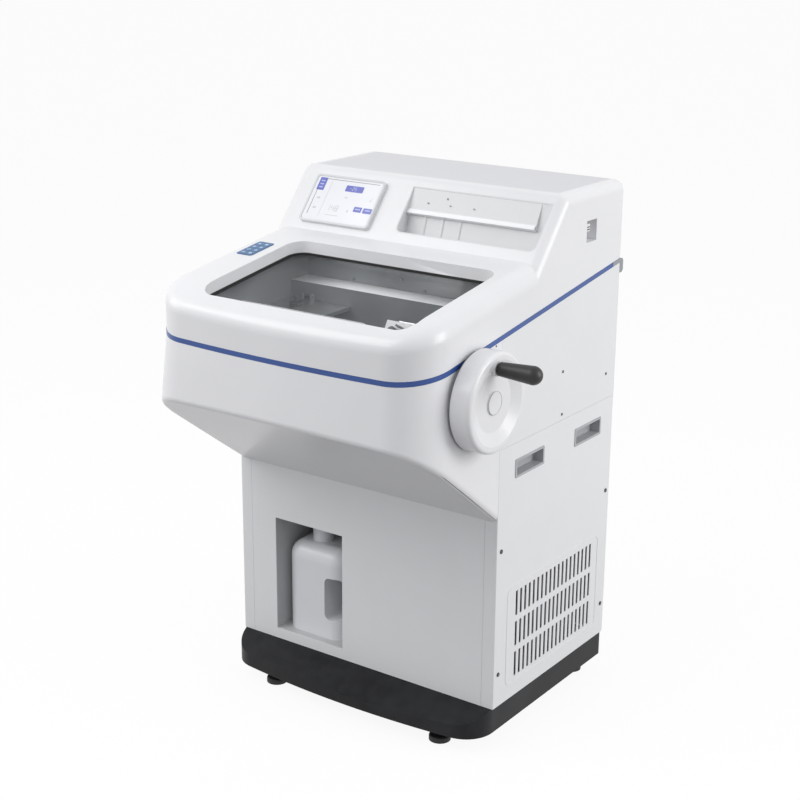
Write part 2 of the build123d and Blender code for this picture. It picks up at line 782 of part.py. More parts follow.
def make_feet():
    nodes = {}
    for name, (x, y) in feet_positions().items():
        pad = rod_z(foot_pad_radius, x, y, (0, foot_pad_height)).solid()
        pad = pad.fillet(5, [pad.edges().sort_by(Axis.Z)[-1]])
        stud = rod_z(foot_stud_radius, x, y, (foot_pad_height - 1, base_levels()[0] + gusset_lap - 3))
        nodes[name] = (pad + stud).solid()
    return nodes


def make_frame():
    """Welded frame: base ring with outriggers, four posts and a top ring."""
    low, high = base_levels()
    gusset_z = (low + gusset_lap - gusset_height, low + gusset_lap)
    z = (low, high)
    x_out = half_width - plinth_inset - plinth_wall - 1
    y_out = half_depth - plinth_inset - plinth_wall - 1
    frame = block((-x_out, x_out), (-y_out, y_out), z)
    hole = (x_out - base_tube, y_out - base_tube)
    frame -= block((-hole[0], hole[0]), (-hole[1], hole[1]), (low - 1, high + 1))
    for x, y in feet_positions().values():
        side = 1 if x > 0 else -1
        gusset_y = (y - 15, 5 - hole[1]) if y < 0 else (y - 17, y_out - 25)
        gusset_x = sorted((x - side * 15, x + side * 20))
        frame += block(gusset_x, gusset_y, gusset_z)
        frame -= rod_z(foot_stud_radius + running_gap, x, y, (gusset_z[0] - 1, gusset_z[1] + 1))
    inside_x = half_width - sheet - seam
    inside_y = half_depth - sheet - seam
    for side in (-1, 1):
        x = sorted((side * inside_x, side * (inside_x - post)))
        stub_x = sorted((side * x_out, side * (x_out - post)))
        for stub_y in ((-y_out, -y_out + post), (y_out - post, y_out)):
            frame += block(stub_x, stub_y, (high - 1, plinth_top_z + 10))
        frame += block(x, (-inside_y, -inside_y + post), (plinth_top_z + seam, front_post_top_z))
        frame += block(x, (inside_y - post, inside_y), (plinth_top_z + seam, rear_post_top_z))
        frame += block(x, (-inside_y, inside_y), (frame_ring_z, frame_ring_z + post))
    for y in (-inside_y, inside_y - post):
        frame += block((-inside_x, inside_x), (y, y + post), (frame_ring_z, frame_ring_z + post))
    rails_z = (front_post_top_z - post, front_post_top_z)
    frame += block((-inside_x, inside_x), (inside_y - post, inside_y), rails_z)
    frame += block((-inside_x, inside_x), (inside_y - post, inside_y),
                   (rear_post_top_z - post, rear_post_top_z))
    pan_x = inside_x - post - seam
    pan_y = inside_y - post - seam
    frame += block((-pan_x, pan_x), (-pan_y, pan_y), (high - 0.5, high - 0.5 + sheet))
    plate = block((drive_plate_x, drive_plate_x + drive_plate_thickness), (wheel_y - 52, wheel_y + 162),
                  (front_post_top_z - 13, wheel_z + 60))
    plate = fillet(plate.edges().filter_by(Axis.X).sort_by(Axis.Z)[-2:], 20)
    plate -= rod_x(bearing_radius, (drive_plate_x - 1, drive_plate_x + 9), wheel_y, wheel_z)
    return (frame + plate).solid()


# Refrigeration in the lower cabinet
def make_refrigeration():
    nodes = {}
    floor = base_levels()[1] + sheet
    x, y = compressor_x, compressor_y
    pot = rod_z(compressor_radius, x, y, (floor + 18, floor + 18 + compressor_height)).solid()
    pot = pot.fillet(compressor_round, pot.edges().filter_by(GeomType.CIRCLE))
    feet = block((x - 96, x + 96), (y - 62, y + 62), (floor + 10, floor + 20))
    pads = [rod_z(12, x + dx, y + dy, (floor, floor + 10)) for dx in (-80, 80) for dy in (-48, 48)]
    nodes["compressor"] = (pot + feet + pads).solid()
    core_y = (fan_y - condenser_width / 2, fan_y + condenser_width / 2)
    core_z = (floor, floor + condenser_height)
    fin_box = block((condenser_x, condenser_x + condenser_depth), core_y, core_z)
    grooves = [block((condenser_x + 6, condenser_x + condenser_depth + 1), (y, y + 8),
                     (core_z[0] + 10, core_z[1] - 10)) for y in spaced(core_y[0] + 8, core_y[1] - 16, 16)]
    nodes["condenser"] = (fin_box - grooves).solid()
    nodes["fan_shroud"], nodes["condenser_fan"] = make_fan(core_y, core_z)
    box = block((box_left, box_left + box_width), (half_depth - 11 - box_depth, half_depth - 11),
                (floor, floor + box_height))
    half = (inlet_width / 2, inlet_height / 2)
    inlet = block((inlet_x - half[0], inlet_x + half[0]), (half_depth - 12, half_depth + 3),
                  (inlet_z - half[1], inlet_z + half[1]))
    inlet += block((inlet_x - half[0] - 6, inlet_x + half[0] + 6), (half_depth + 0.2, half_depth + 3),
                   (inlet_z - half[1] - 6, inlet_z + half[1] + 6))
    well = block((inlet_x - 13, inlet_x + 13), (half_depth - 16, half_depth + 4), (inlet_z - 9, inlet_z + 9))
    nodes["electronics_box"] = (box + inlet - well).solid()
    pipe = rod_z(drain_radius, neck_x, bottle_y, (bay_high_z - 4, chamber_floor_z - liner_wall - 0.2))
    pipe -= rod_z(drain_radius - 2, neck_x, bottle_y, (bay_high_z - 5, chamber_floor_z))
    nodes["drain_pipe"] = pipe
    return nodes


def make_fan(core_y, core_z):
    """Shroud with its motor, and the rotor that draws air through the condenser."""
    bore = fan_radius + 2.5
    hoop_x = (condenser_x - 34, condenser_x - 0.3)
    hoop = rod_x(fan_radius + 7, hoop_x, fan_y, fan_z)
    hoop -= rod_x(bore, (hoop_x[0] - 1, condenser_x), fan_y, fan_z)
    plate = block((condenser_x - 3.3, condenser_x - 0.3), core_y, core_z)
    plate -= rod_x(bore, (condenser_x - 6, condenser_x), fan_y, fan_z)
    bars = block((hoop_x[0] - 4, hoop_x[0]), (fan_y - fan_radius - 6, fan_y + fan_radius + 6),
                 (fan_z - 8, fan_z + 8))
    motor = rod_x(28, (hoop_x[0] - 36, hoop_x[0]), fan_y, fan_z)
    shaft_bore = rod_x(fan_shaft_radius + running_gap, (hoop_x[0] - 18, hoop_x[0] + 1), fan_y, fan_z)
    shroud = (hoop + plate + bars + motor - shaft_bore).solid()
    rotor = rod_x(20, (hoop_x[0] + 6, hoop_x[0] + 26), fan_y, fan_z)
    rotor += rod_x(fan_shaft_radius, (hoop_x[0] - 16, hoop_x[0] + 8), fan_y, fan_z)
    blade = Pos(hoop_x[0] + 16, 0, fan_radius - 38) * Rot(0, 0, 28) * Box(2.2, 42, 68)
    for turn in range(fan_blades):
        rotor += Pos(0, fan_y, fan_z) * Rot(360 / fan_blades * turn, 0, 0) * blade
    return shroud, rotor.solid()


# Chamber
def chamber_form(grow, top_z):
    """Cold chamber as a solid, larger by grow all round, up to a tilted plane."""
    lean = radians(chamber_lean)
    knee = grow * tan(lean / 2)
    front_rise = (chamber_knee_y - chamber_front) * tan(lean)
    points = [
        (chamber_rear + grow, chamber_floor_z - grow),
        (chamber_rear + grow, overall_height),
        (chamber_front - grow, overall_height),
        (chamber_front - grow, chamber_floor_z + front_rise - grow / cos(lean) + grow * tan(lean)),
        (chamber_knee_y - knee, chamber_floor_z - grow),
    ]
    body = prism_x(points, (chamber_left - grow, chamber_right + grow)).solid()
    return below(body, top_z)


def chamber_top():
    return glass_top_z - (glass_thickness + rail_wall + glass_clearance) * tilt_rise


def make_chamber():
    nodes = {}
    top = chamber_top()
    liner = chamber_form(liner_wall, top) - chamber_form(0, top + 50)
    shaft_hole = rod_x(crank_shaft_radius + bush_wall + bearing_fit, (chamber_right - 5, chamber_right + 60),
                       crank_y, crank_z)
    drain = rod_z(drain_radius - 1, neck_x, bottle_y, (chamber_floor_z - 60, chamber_floor_z + 60))
    nodes["chamber_liner"] = (liner - shaft_hole - drain).solid()
    foam = chamber_form(insulation_wall, top) - chamber_form(liner_wall, top + 50)
    drain_bore = rod_z(drain_radius + 0.4, neck_x, bottle_y, (chamber_floor_z - 60, chamber_floor_z + 60))
    nodes["chamber_insulation"] = (foam - shaft_hole - drain_bore).solid()
    cover = prism_x([(chamber_rear, cover_ledge_z), (cover_front_y, cover_ledge_z),
                     (cover_front_y, cover_bottom_z),
                     (cover_front_y + cover_sheet, cover_bottom_z),
                     (cover_front_y + cover_sheet, cover_ledge_z - cover_sheet),
                     (chamber_rear, cover_ledge_z - cover_sheet)], (chamber_left + 0.2, chamber_right - 0.2))
    slots = [block((x - 26, x + 26), (cover_front_y - 1, cover_front_y + 3),
                   (cover_bottom_z + 14, cover_bottom_z + 20))
             for x in spaced(chamber_left + 55, chamber_right - 66, 70)]
    nodes["evaporator_cover"] = (cover - slots).solid()
    coil_z = (cover_ledge_z - 211, cover_ledge_z - 31)
    coil_x = (chamber_left + 20, chamber_right - 20)
    coil = block(coil_x, (chamber_rear - 46, chamber_rear - 0.2), coil_z)
    grooves = [block((x, x + 14), (chamber_rear - 47, chamber_rear - 8), (coil_z[0] + 8, coil_z[1] - 8))
               for x in spaced(coil_x[0] + 12, coil_x[1] - 26, 32)]
    nodes["evaporator"] = (coil - grooves).solid()
    nodes["freezing_shelf"] = make_shelf()
    guard_x = (chamber_left + 29, head_x - column_width / 2 - 17)
    guard = block(guard_x, (guard_y - 1, guard_y + 1), (shelf_z - 62, cover_ledge_z - 2))
    guard = fillet(guard.edges().filter_by(Axis.Y).sort_by(Axis.Z)[-2:], 8)
    foot = block(guard_x, (chamber_front + 0.2, guard_y + 1), (shelf_z - 62, shelf_z - 60))
    nodes["section_guard"] = guard + foot
    return nodes


def make_shelf():
    """Freezing shelf with its side flange and the two hinge ears."""
    shelf_y = (chamber_knee_y - 27, cover_front_y - 1)
    left = chamber_left + 0.2
    shelf = block((left, chamber_left + shelf_width), shelf_y, (shelf_z - shelf_thickness, shelf_z))
    shelf += block((left, left + 4), shelf_y, (shelf_z - 40, shelf_z - shelf_thickness))
    for side in (-1, 1):
        x = extractor_x + side * 10
        ear = block((x - 2, x + 2), (extractor_hinge_y - 6, extractor_hinge_y + 6),
                    (shelf_z - 1, extractor_hinge_z + 6))
        shelf += ear - rod_x(2 + running_gap, (x - 3, x + 3), extractor_hinge_y, extractor_hinge_z)
    return shelf.solid()


def make_window():
    nodes = {}
    left = window_left - glass_margin - moulding_wall
    right = window_right + glass_margin
    front = window_front - 10
    rear = window_rear + glass_lap
    thickness = glass_thickness * tilt_rise
    pane = block((left, right), (front, rear), (chamber_floor_z, overall_height))
    pane = fillet(pane.edges().filter_by(Axis.Z).sort_by(Axis.Y)[:2], 25)
    pane = above(below(pane, glass_top_z), glass_top_z - thickness).solid()
    nodes["sliding_window"] = pane
    gap = glass_clearance
    rails = []
    for inner, sign in ((left, -1), (right, 1)):
        outer_x = inner + sign * (gap + rail_wall)
        lip_x = inner - sign * rail_engagement
        rail = block(sorted((outer_x, lip_x)), (front + 14, rail_rear_y), (chamber_floor_z, overall_height))
        rail_top = glass_top_z + (gap + rail_wall) * tilt_rise
        rail = above(below(rail, rail_top), glass_top_z - thickness - (gap + rail_wall) * tilt_rise)
        groove = block(sorted((inner + sign * gap, lip_x - sign * 1)), (front - gap, rail_rear_y + 1),
                       (chamber_floor_z, overall_height))
        groove = above(below(groove, glass_top_z + gap), glass_top_z - thickness - gap)
        rails.append((rail - groove).solid())
    nodes["window_rails"] = rails
    low = glass_top_z + glass_clearance * tilt_rise
    ring = window_prism(gasket_width) - window_prism(0)
    nodes["window_gasket"] = above(below(ring, low + gasket_height * tilt_rise), low)
    return nodes


# Handwheel
def make_handwheel():
    nodes = {}
    depth = wheel_face_x - wheel_back_x
    profile = [(shaft_radius, 0), (wheel_radius - 3, 0), (wheel_radius, 3), (wheel_radius, depth - 8)]
    wheel_line = Polyline(*profile)
    rim = ThreePointArc((wheel_radius, depth - 8), (wheel_radius - 2.6, depth - 2.2),
                        (wheel_radius - 8, depth))
    dish_radius = wheel_radius - wheel_rim
    dish = Polyline((wheel_radius - 8, depth), (dish_radius, depth), (dish_radius - 26, depth - wheel_dish),
                    (0, depth - wheel_dish), (0, 0), (shaft_radius, 0))
    section = make_face([wheel_line, rim, dish])
    wheel = revolve(Plane.XZ * section, Axis.Z)
    hollow = Pos(0, 0, 10) * Cylinder(wheel_radius - 12, 22) - Pos(0, 0, 10) * Cylinder(34, 30)
    wheel -= hollow
    place = Pos(wheel_back_x, wheel_y, wheel_z) * Rot(0, 90, 0)
    wheel = place * wheel
    boss = rod_x(15, (wheel_face_x - wheel_dish - 1, wheel_face_x - 1), wheel_y, wheel_z + handle_offset)
    cap = rod_x(wheel_cap_radius, (wheel_face_x - wheel_dish - 1, wheel_face_x - wheel_dish + 3),
                wheel_y, wheel_z)
    spindle = rod_x(spindle_radius, (wheel_face_x - 4, handle_tip_x - 12.5), wheel_y, wheel_z + handle_offset)
    bore = rod_x(shaft_radius, (wheel_back_x - 1, wheel_face_x - wheel_dish - 2), wheel_y, wheel_z)
    nodes["handwheel"] = (wheel + boss + cap + spindle - bore).solid()
    base_x = wheel_face_x - 1 + handle_gap
    tip = handle_tip_x
    dome = handle_tip_radius
    grip_line = Polyline((spindle_radius + running_gap, base_x), (handle_base_radius - 2, base_x),
                         (handle_base_radius, base_x + 3), (handle_tip_radius, tip - dome))
    dome_arc = ThreePointArc((handle_tip_radius, tip - dome),
                             (handle_tip_radius * sin(radians(45)),
                              tip - dome + dome * cos(radians(45))), (0, tip))
    inner_end = tip - 12
    inside = Polyline((0, tip), (0, inner_end), (spindle_radius + running_gap, inner_end),
                      (spindle_radius + running_gap, base_x))
    grip = revolve(Plane.XZ * make_face([grip_line, dome_arc, inside]), Axis.Z)
    nodes["handle_grip"] = (Pos(0, wheel_y, wheel_z + handle_offset) * Rot(0, 90, 0) * grip).solid()
    return nodes


def pulley(y, z):
    """Flanged pulley of the belt drive."""
    x = (pulley_x, pulley_x + pulley_width)
    flange_radius = pulley_radius + belt_thickness + 1.5
    disc = rod_x(pulley_radius, x, y, z)
    disc += rod_x(flange_radius, (x[0], x[0] + 1.2), y, z)
    disc += rod_x(flange_radius, (x[1] - 1.2, x[1]), y, z)
    return disc


def make_drive():
    nodes = {}
    shaft = rod_x(shaft_radius, (pulley_x, wheel_face_x - wheel_dish - 2), wheel_y, wheel_z)
    nodes["wheel_shaft"] = (shaft + pulley(wheel_y, wheel_z)).solid()
    plate_face = drive_plate_x + drive_plate_thickness
    wheel_bush = rod_x(bearing_radius, (drive_plate_x, wheel_back_x - 2.5), wheel_y, wheel_z)
    wheel_bush += rod_x(bearing_radius + 8, (plate_face, plate_face + 4), wheel_y, wheel_z)
    wheel_bush -= rod_x(shaft_radius + running_gap, (drive_plate_x - 3, wheel_back_x), wheel_y, wheel_z)
    bush_x = (chamber_right - 6, chamber_right + insulation_wall + 3)
    crank_bush = rod_x(crank_shaft_radius + bush_wall, bush_x, crank_y, crank_z)
    crank_bush += rod_x(crank_shaft_radius + 9, (chamber_right - 6, chamber_right), crank_y, crank_z)
    crank_bush -= rod_x(crank_shaft_radius + running_gap, (bush_x[0] - 1, bush_x[1] + 1), crank_y, crank_z)
    nodes["shaft_bearings"] = [wheel_bush, crank_bush]

    def loop(radius):
        dy = crank_y - wheel_y
        dz = crank_z - wheel_z
        length = sqrt(dy * dy + dz * dz)
        angle = degrees(asin(dz / length))
        slot = SlotCenterToCenter(length, 2 * radius)
        return Pos((wheel_y + crank_y) / 2, (wheel_z + crank_z) / 2) * Rot(0, 0, angle) * slot

    band = loop(pulley_radius + belt_gap + belt_thickness) - loop(pulley_radius + belt_gap)
    side_gap = 1.2 + belt_gap
    band = extrude(Plane.YZ * band, pulley_width - 2 * side_gap)
    nodes["drive_belt"] = Pos(pulley_x + side_gap, 0, 0) * band
    return nodes


# Microtome
def make_microtome():
    nodes = {}
    x = (head_x - column_width / 2, head_x + column_width / 2)
    floor = chamber_floor_z + 1
    points = [(column_rear_y, floor), (column_rear_y, column_top_z), (column_front_y, column_top_z),
              (column_front_y, block_top_z), (block_front_y, block_top_z), (block_front_y, block_top_z - 88),
              (chamber_knee_y + 3, floor + 14), (chamber_knee_y + 13, floor)]
    body = prism_x(points, x)
    cavity_y = (crank_y - crank_disc_radius - 4, column_rear_y - 4)
    cavity = block((x[0] + 12, x[1] + 1), cavity_y, (crank_z - 60, block_top_z - 4))
    body -= cavity
    yoke_x = (head_x - 23, head_x - 23 + yoke_thickness)
    body -= block((yoke_x[0] - 1, yoke_x[1] + 1), (column_front_y - 22, column_front_y),
                  (block_top_z - 5, block_top_z + 1))
    body -= block((x[0] + 12, x[1] - 12), (block_front_y + 26, cavity_y[0] - 8),
                  (block_top_z - 60, block_top_z - 8))
    body -= block((head_x - 22.5, head_x + 22.5), (column_front_y - 1, column_rear_y - 6),
                  (head_rest_z - 26, column_top_z + 1))
    for sign in (-1, 1):
        rail_x = sorted((head_x + sign * 28, head_x + sign * 36))
        body += block(rail_x, (column_front_y - 6, column_front_y + 1), (block_top_z + 4, column_top_z - 2))
    nodes["microtome_body"] = body.solid()
    door = block((x[1], x[1] + 2), (cavity_y[0] - 6, column_rear_y), (crank_z - 70, block_top_z - 2))
    door -= rod_x(crank_shaft_radius + 3, (x[1] - 1, x[1] + 4), crank_y, crank_z)
    nodes["gear_cover"] = door
    disc_x = (yoke_x[1] + 8, yoke_x[1] + 17)
    shaft = rod_x(crank_shaft_radius, (disc_x[1], pulley_x + pulley_width), crank_y, crank_z)
    disc = rod_x(crank_disc_radius, disc_x, crank_y, crank_z)
    pin = rod_x(crank_pin_radius, (yoke_x[1] + 0.5, disc_x[0]), crank_y, crank_z - crank_radius)
    nodes["crankshaft"] = (shaft + disc + pin + pulley(crank_y, crank_z)).solid()

    front_y = column_front_y - 6.4 - carriage_thickness
    slide_y = (front_y, column_front_y - 1)
    z = (block_top_z + 8, block_top_z + 8 + carriage_height)
    carriage = block((head_x - carriage_width / 2, head_x + carriage_width / 2), slide_y, z)
    for sign in (-1, 1):
        groove_x = sorted((head_x + sign * 27.7, head_x + sign * 36.3))
        carriage -= block(groove_x, (column_front_y - 6.4, column_front_y), (z[0] - 1, z[1] + 1))
    yoke_z = crank_z - crank_radius
    neck = block(yoke_x, (front_y + 4, front_y + 18), (yoke_z + 8, z[0] + 1))
    yoke = block(yoke_x, (crank_y - 34.5, crank_y + 34.5), (yoke_z - 10, yoke_z + 10))
    yoke -= block((yoke_x[0] - 1, yoke_x[1] + 1), (crank_y - 30, crank_y + 30), (yoke_z - 4.1, yoke_z + 4.1))
    arm_radius = head_radius - 4
    back = front_y - 4
    bore = rod_y(arm_radius + running_gap, head_x, (back - 1, slide_y[1] + 1), head_rest_z)
    collar = rod_y(head_radius + 2, head_x, (back, front_y + 1), head_rest_z)
    nodes["head_carriage"] = (carriage + neck + yoke + collar - bore).solid()

    arm = rod_y(arm_radius, head_x, (back - 3, column_rear_y - 9), head_rest_z)
    arm += rod_y(head_radius, head_x, (back - 6, back - 0.4), head_rest_z)
    pivot_y = back - 12.5
    ears = block((head_x - 15, head_x + 15), (pivot_y - 4, back - 5), (head_rest_z - 15, head_rest_z + 15))
    ears -= block((head_x - 16, head_x + 16), (pivot_y - 5, pivot_y + 5.5),
                  (head_rest_z - 9, head_rest_z + 9))
    ears -= rod_z(2 + running_gap, head_x, pivot_y, (head_rest_z - 16, head_rest_z + 16))
    nodes["specimen_arm"] = (arm + ears).solid()

    plate_y = (pivot_y - 10.5, pivot_y - 6.5)
    knuckle = rod_z(4, head_x, pivot_y, (head_rest_z - 8.7, head_rest_z + 8.7))
    knuckle += rod_z(2, head_x, pivot_y, (head_rest_z - 14.5, head_rest_z + 14.5))
    knuckle += block((head_x - 3, head_x + 3), (plate_y[0] + 1, pivot_y),
                     (head_rest_z - 8.5, head_rest_z + 8.5))
    knuckle += block((head_x - 18, head_x + 18), plate_y, (head_rest_z - 17, head_rest_z + 17))
    clamp_y = plate_y[0] - 5
    for sign in (-1, 1):
        ear_x = sorted((head_x + sign * 14, head_x + sign * 18))
        knuckle += block(ear_x, (clamp_y - 4, plate_y[1]), (head_rest_z - 5, head_rest_z + 5))
    knuckle -= rod_x(2 + running_gap, (head_x - 19, head_x + 19), clamp_y, head_rest_z)
    nodes["orientation_yoke"] = knuckle.solid()

    clamp = rod_y(18, head_x, (clamp_y - 12.5, clamp_y - 6.5), head_rest_z)
    clamp += block((head_x - 13.5, head_x + 13.5), (clamp_y - 8, clamp_y + 1.5),
                   (head_rest_z - 3, head_rest_z + 3))
    clamp += rod_x(2, (head_x - 17.5, head_x + 17.5), clamp_y, head_rest_z)
    clamp += rod_z(2.5, head_x, clamp_y - 9.5, (head_rest_z + 16, head_rest_z + 20))
    clamp += rod_z(5, head_x, clamp_y - 9.5, (head_rest_z + 19, head_rest_z + 27))
    nodes["specimen_clamp"] = clamp.solid()
    disc_y = (clamp_y - 16.5, clamp_y - 12.5)
    chuck = rod_y(17, head_x, disc_y, head_rest_z)
    rings = [rod_y(r, head_x, (disc_y[0] - 1, disc_y[0] + 1), head_rest_z)
             - rod_y(r - 1.5, head_x, (disc_y[0] - 2, disc_y[0] + 2), head_rest_z) for r in (14, 10, 6)]
    nodes["specimen_disc"] = (chuck - rings).solid()
    return nodes


def holder_frame():
    """Frame on the blade holder's sloping face: X right, Y up the slope, Z out."""
    angle = radians(holder_face_angle)
    return Plane(origin=(head_x, blade_y, blade_z), x_dir=(1, 0, 0), z_dir=(0, -sin(angle), cos(angle)))


def on_holder(width_range, slope_range, depth_range, radius=0.0):
    """Slab on the blade holder's face: 0 up the slope is the blade's edge."""
    width = width_range[1] - width_range[0]
    length = slope_range[1] - slope_range[0]
    centre = Pos(sum(width_range) / 2, sum(slope_range) / 2, depth_range[0])
    face = RectangleRounded(width, length, radius) if radius else Rectangle(width, length)
    return holder_frame() * (centre * extrude(face, depth_range[1] - depth_range[0]))


def face_point(slope, depth):
    """Side view (y, z) of a point on the blade holder's face frame."""
    angle = radians(holder_face_angle)
    y = blade_y + slope * cos(angle) - depth * sin(angle)
    return y, blade_z + slope * sin(angle) + depth * cos(angle)


def make_blade_holder():
    nodes = {}
    half = holder_width / 2
    x = (head_x - half, head_x + half)
    base = block((x[0] + 8, x[1] - 8), (blade_y - 84, blade_y + 2), (block_top_z + 0.2, block_top_z + 32))
    nodes["holder_base"] = (base - rod_x(holder_radius + holder_gap, x, blade_y, blade_z)).solid()

    def on_sole(turn):
        return blade_y - holder_radius * sin(radians(turn)), blade_z - holder_radius * cos(radians(turn))

    top = face_point(-2, -plate_thickness)
    heel = on_sole(-1.5)
    toe = face_point(-109, -plate_thickness)
    toe_turn = degrees(asin((blade_y - toe[0]) / holder_radius))
    back = Polyline(toe, top, (blade_y + 3.5, blade_z - 8), heel)
    sole = ThreePointArc(heel, on_sole(toe_turn / 2), on_sole(toe_turn))
    body = extrude(Plane.YZ * make_face([back, sole, Line(on_sole(toe_turn), toe)]), x[1] - x[0],
                   dir=(1, 0, 0))
    body = Pos(x[0], 0, 0) * body
    seat_depth = -plate_thickness - blade_thickness
    body -= on_holder((-40.3, 40.3), (-blade_width - 0.3, 4), (seat_depth, 0))
    nodes["blade_holder"] = body.solid()
    nodes["blade"] = on_holder((-40, 40), (-blade_width, 0), (seat_depth, -plate_thickness))
    nodes["pressure_plate"] = on_holder((-half + 3, half - 3), (-62, -3), (-plate_thickness, 0), 4)
    knob_at = holder_frame() * Pos(knob_x - head_x, -knob_down, 0)
    knob = (Pos(0, 0, 5.3) * Cylinder(knob_radius, 10)).solid()
    knob = knob.fillet(2, knob.edges().filter_by(GeomType.CIRCLE).sort_by(Axis.Z)[-1:])
    nodes["clamp_knob"] = knob_at * knob
    lever_at = holder_frame() * Pos(lever_x - head_x, -lever_down, 0)
    boss = Pos(0, 0, 4.3) * Cylinder(7.5, 8)
    arm = Pos(-lever_length / 2, 4.5, 5.5) * Rot(0, 0, -15) * Box(lever_length, 4.5, 4)
    nodes["clamp_lever"] = lever_at * (boss + arm).solid()
    return nodes


def make_heat_extractor():
    """Weight that swings down on the shelf, on a hinge between two ears."""
    x, hinge_y, hinge_z = extractor_x, extractor_hinge_y, extractor_hinge_z
    disc_y = hinge_y - extractor_reach
    disc = rod_z(14, x, disc_y, (shelf_z + 0.3, shelf_z + 9))
    arm = block((x - 4, x + 4), (disc_y, hinge_y), (shelf_z + 5, shelf_z + 9))
    hub = rod_x(5, (x - 7.5, x + 7.5), hinge_y, hinge_z)
    link = block((x - 4, x + 4), (hinge_y - 4, hinge_y + 4), (shelf_z + 5, hinge_z))
    pin = rod_x(2, (x - 11, x + 11), hinge_y, hinge_z)
    stem = rod_z(2, x, disc_y, (shelf_z + 8, shelf_z + 21))
    hook = rod_x(2, (x - 9, x + 1.5), disc_y, shelf_z + 20)
    return (disc + arm + hub + link + pin + stem + hook).solid()


def make_screws():
    edge_y = half_depth - 17
    high_z = side_seam_z - 224
    low_z = plinth_top_z + 76
    screws = []
    for y, z in ((-edge_y, high_z), (-edge_y, low_z), (edge_y, high_z), (edge_y, low_z)):
        screws.append(rod_x(4.5, (half_width, half_width + 1.6), y, z))
    small = []
    for y, z in ((6.0, side_seam_z + 109), (half_depth - 41, side_seam_z + 59), (8.0, side_seam_z + 14)):
        small.append(rod_x(3.0, (half_width, half_width + 1.0), y, z))
    pairs = []
    for screw in screws + small:
        pairs += both_sides(screw)
    return pairs


def make_all():
    nodes = {}
    nodes["top_cover"] = make_top_cover()
    nodes.update(make_hood_parts())
    nodes["canopy"] = make_canopy()
    nodes["accent_stripe"], nodes["stripe_end_caps"] = make_stripe()
    right_panel = make_side_panel()
    nodes["side_panels"] = both_sides(right_panel)
    grips = make_grips()
    nodes["panel_grips"] = grips + [mirror(grip, about=Plane.YZ) for grip in grips]
    nodes["upper_side_panels"] = both_sides(make_upper_side_panel())
    nodes["front_panel"] = make_front_panel()
    nodes["bottle_bay"] = make_bottle_bay()
    nodes["waste_bottle"], nodes["bottle_cap"] = make_bottle()
    nodes["rear_panel"] = (make_rear_panel() + make_upper_rear_panel()).solid()
    nodes["base_plinth"] = make_plinth()
    nodes.update(make_feet())
    nodes["chassis_frame"] = make_frame()
    nodes.update(make_refrigeration())
    nodes.update(make_chamber())
    nodes.update(make_window())
    nodes.update(make_handwheel())
    nodes.update(make_drive())
    nodes.update(make_microtome())
    nodes.update(make_blade_holder())
    nodes["heat_extractor"] = make_heat_extractor()
    nodes["panel_screws"] = make_screws()
    return nodes


def as_shape(item):
    return Compound(children=list(item)) if isinstance(item, (list, tuple)) else item


nodes = {name: as_shape(item) for name, item in make_all().items()}
outer_box = Compound(children=[Compound(shape.wrapped) for shape in nodes.values()]).bounding_box()
place = Pos(-outer_box.center().X, -outer_box.center().Y, -outer_box.min.Z)
os.makedirs("parts", exist_ok=True)
for name, shape in nodes.items():
    export_step(place * shape, f"parts/{name}.step")
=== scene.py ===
import bmesh
import bpy
import math
from mathutils import Matrix, Vector


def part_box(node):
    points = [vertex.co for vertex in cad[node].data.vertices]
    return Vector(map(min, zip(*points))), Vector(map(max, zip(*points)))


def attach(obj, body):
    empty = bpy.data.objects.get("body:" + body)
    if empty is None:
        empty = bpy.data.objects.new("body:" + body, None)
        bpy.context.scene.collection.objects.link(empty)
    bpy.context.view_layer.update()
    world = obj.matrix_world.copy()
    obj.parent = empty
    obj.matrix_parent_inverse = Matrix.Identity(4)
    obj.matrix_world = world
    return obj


# Looks of the cryostat microtome: materials, studio and small pieces. The small
# pieces are laid out in mm in the cabinet's own frame, as in part.py: x to the
# right, y to the back, z up from the floor, and the origin halfway between the
# side panels. at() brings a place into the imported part's frame in metres.
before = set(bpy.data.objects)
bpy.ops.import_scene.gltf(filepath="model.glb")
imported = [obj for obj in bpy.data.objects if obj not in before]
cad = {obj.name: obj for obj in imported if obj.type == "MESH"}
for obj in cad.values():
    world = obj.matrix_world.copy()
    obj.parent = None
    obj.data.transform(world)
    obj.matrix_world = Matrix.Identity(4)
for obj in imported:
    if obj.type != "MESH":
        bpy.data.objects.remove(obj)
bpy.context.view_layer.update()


def packed_box(node):
    """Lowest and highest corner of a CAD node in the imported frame, in mm."""
    low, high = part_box(node)
    return Vector(low) * 1000, Vector(high) * 1000


panels_low, panels_high = packed_box("side_panels")
SHIFT = (panels_low + panels_high) / 2
SHIFT.z = 0.0


def at(x, y, z):
    return (Vector((x, y, z)) + SHIFT) / 1000


# Materials
COAT_ROUGHNESS = 0.12
GRAIN_DEPTH = 0.0004            # m
PATCH_RANGE = (0.5, 0.72)       # of the noise, where soft patches fade in
FACES_UP = (0.6, 0.9)           # of the normal's z, where the painted light on faces that look up begins and is full
MIX_A, MIX_B, MIX_RESULT = 6, 7, 2      # colour sockets of the Mix node


def new_material(name):
    mat = bpy.data.materials.new(name)
    mat.use_nodes = True
    nodes = mat.node_tree.nodes
    return mat, nodes, mat.node_tree.links, nodes["Principled BSDF"]


def noise(nodes, links, vector, scale, detail):
    texture = nodes.new("ShaderNodeTexNoise")
    texture.inputs["Scale"].default_value = scale
    texture.inputs["Detail"].default_value = detail
    links.new(vector, texture.inputs["Vector"])
    return texture.outputs["Fac"]


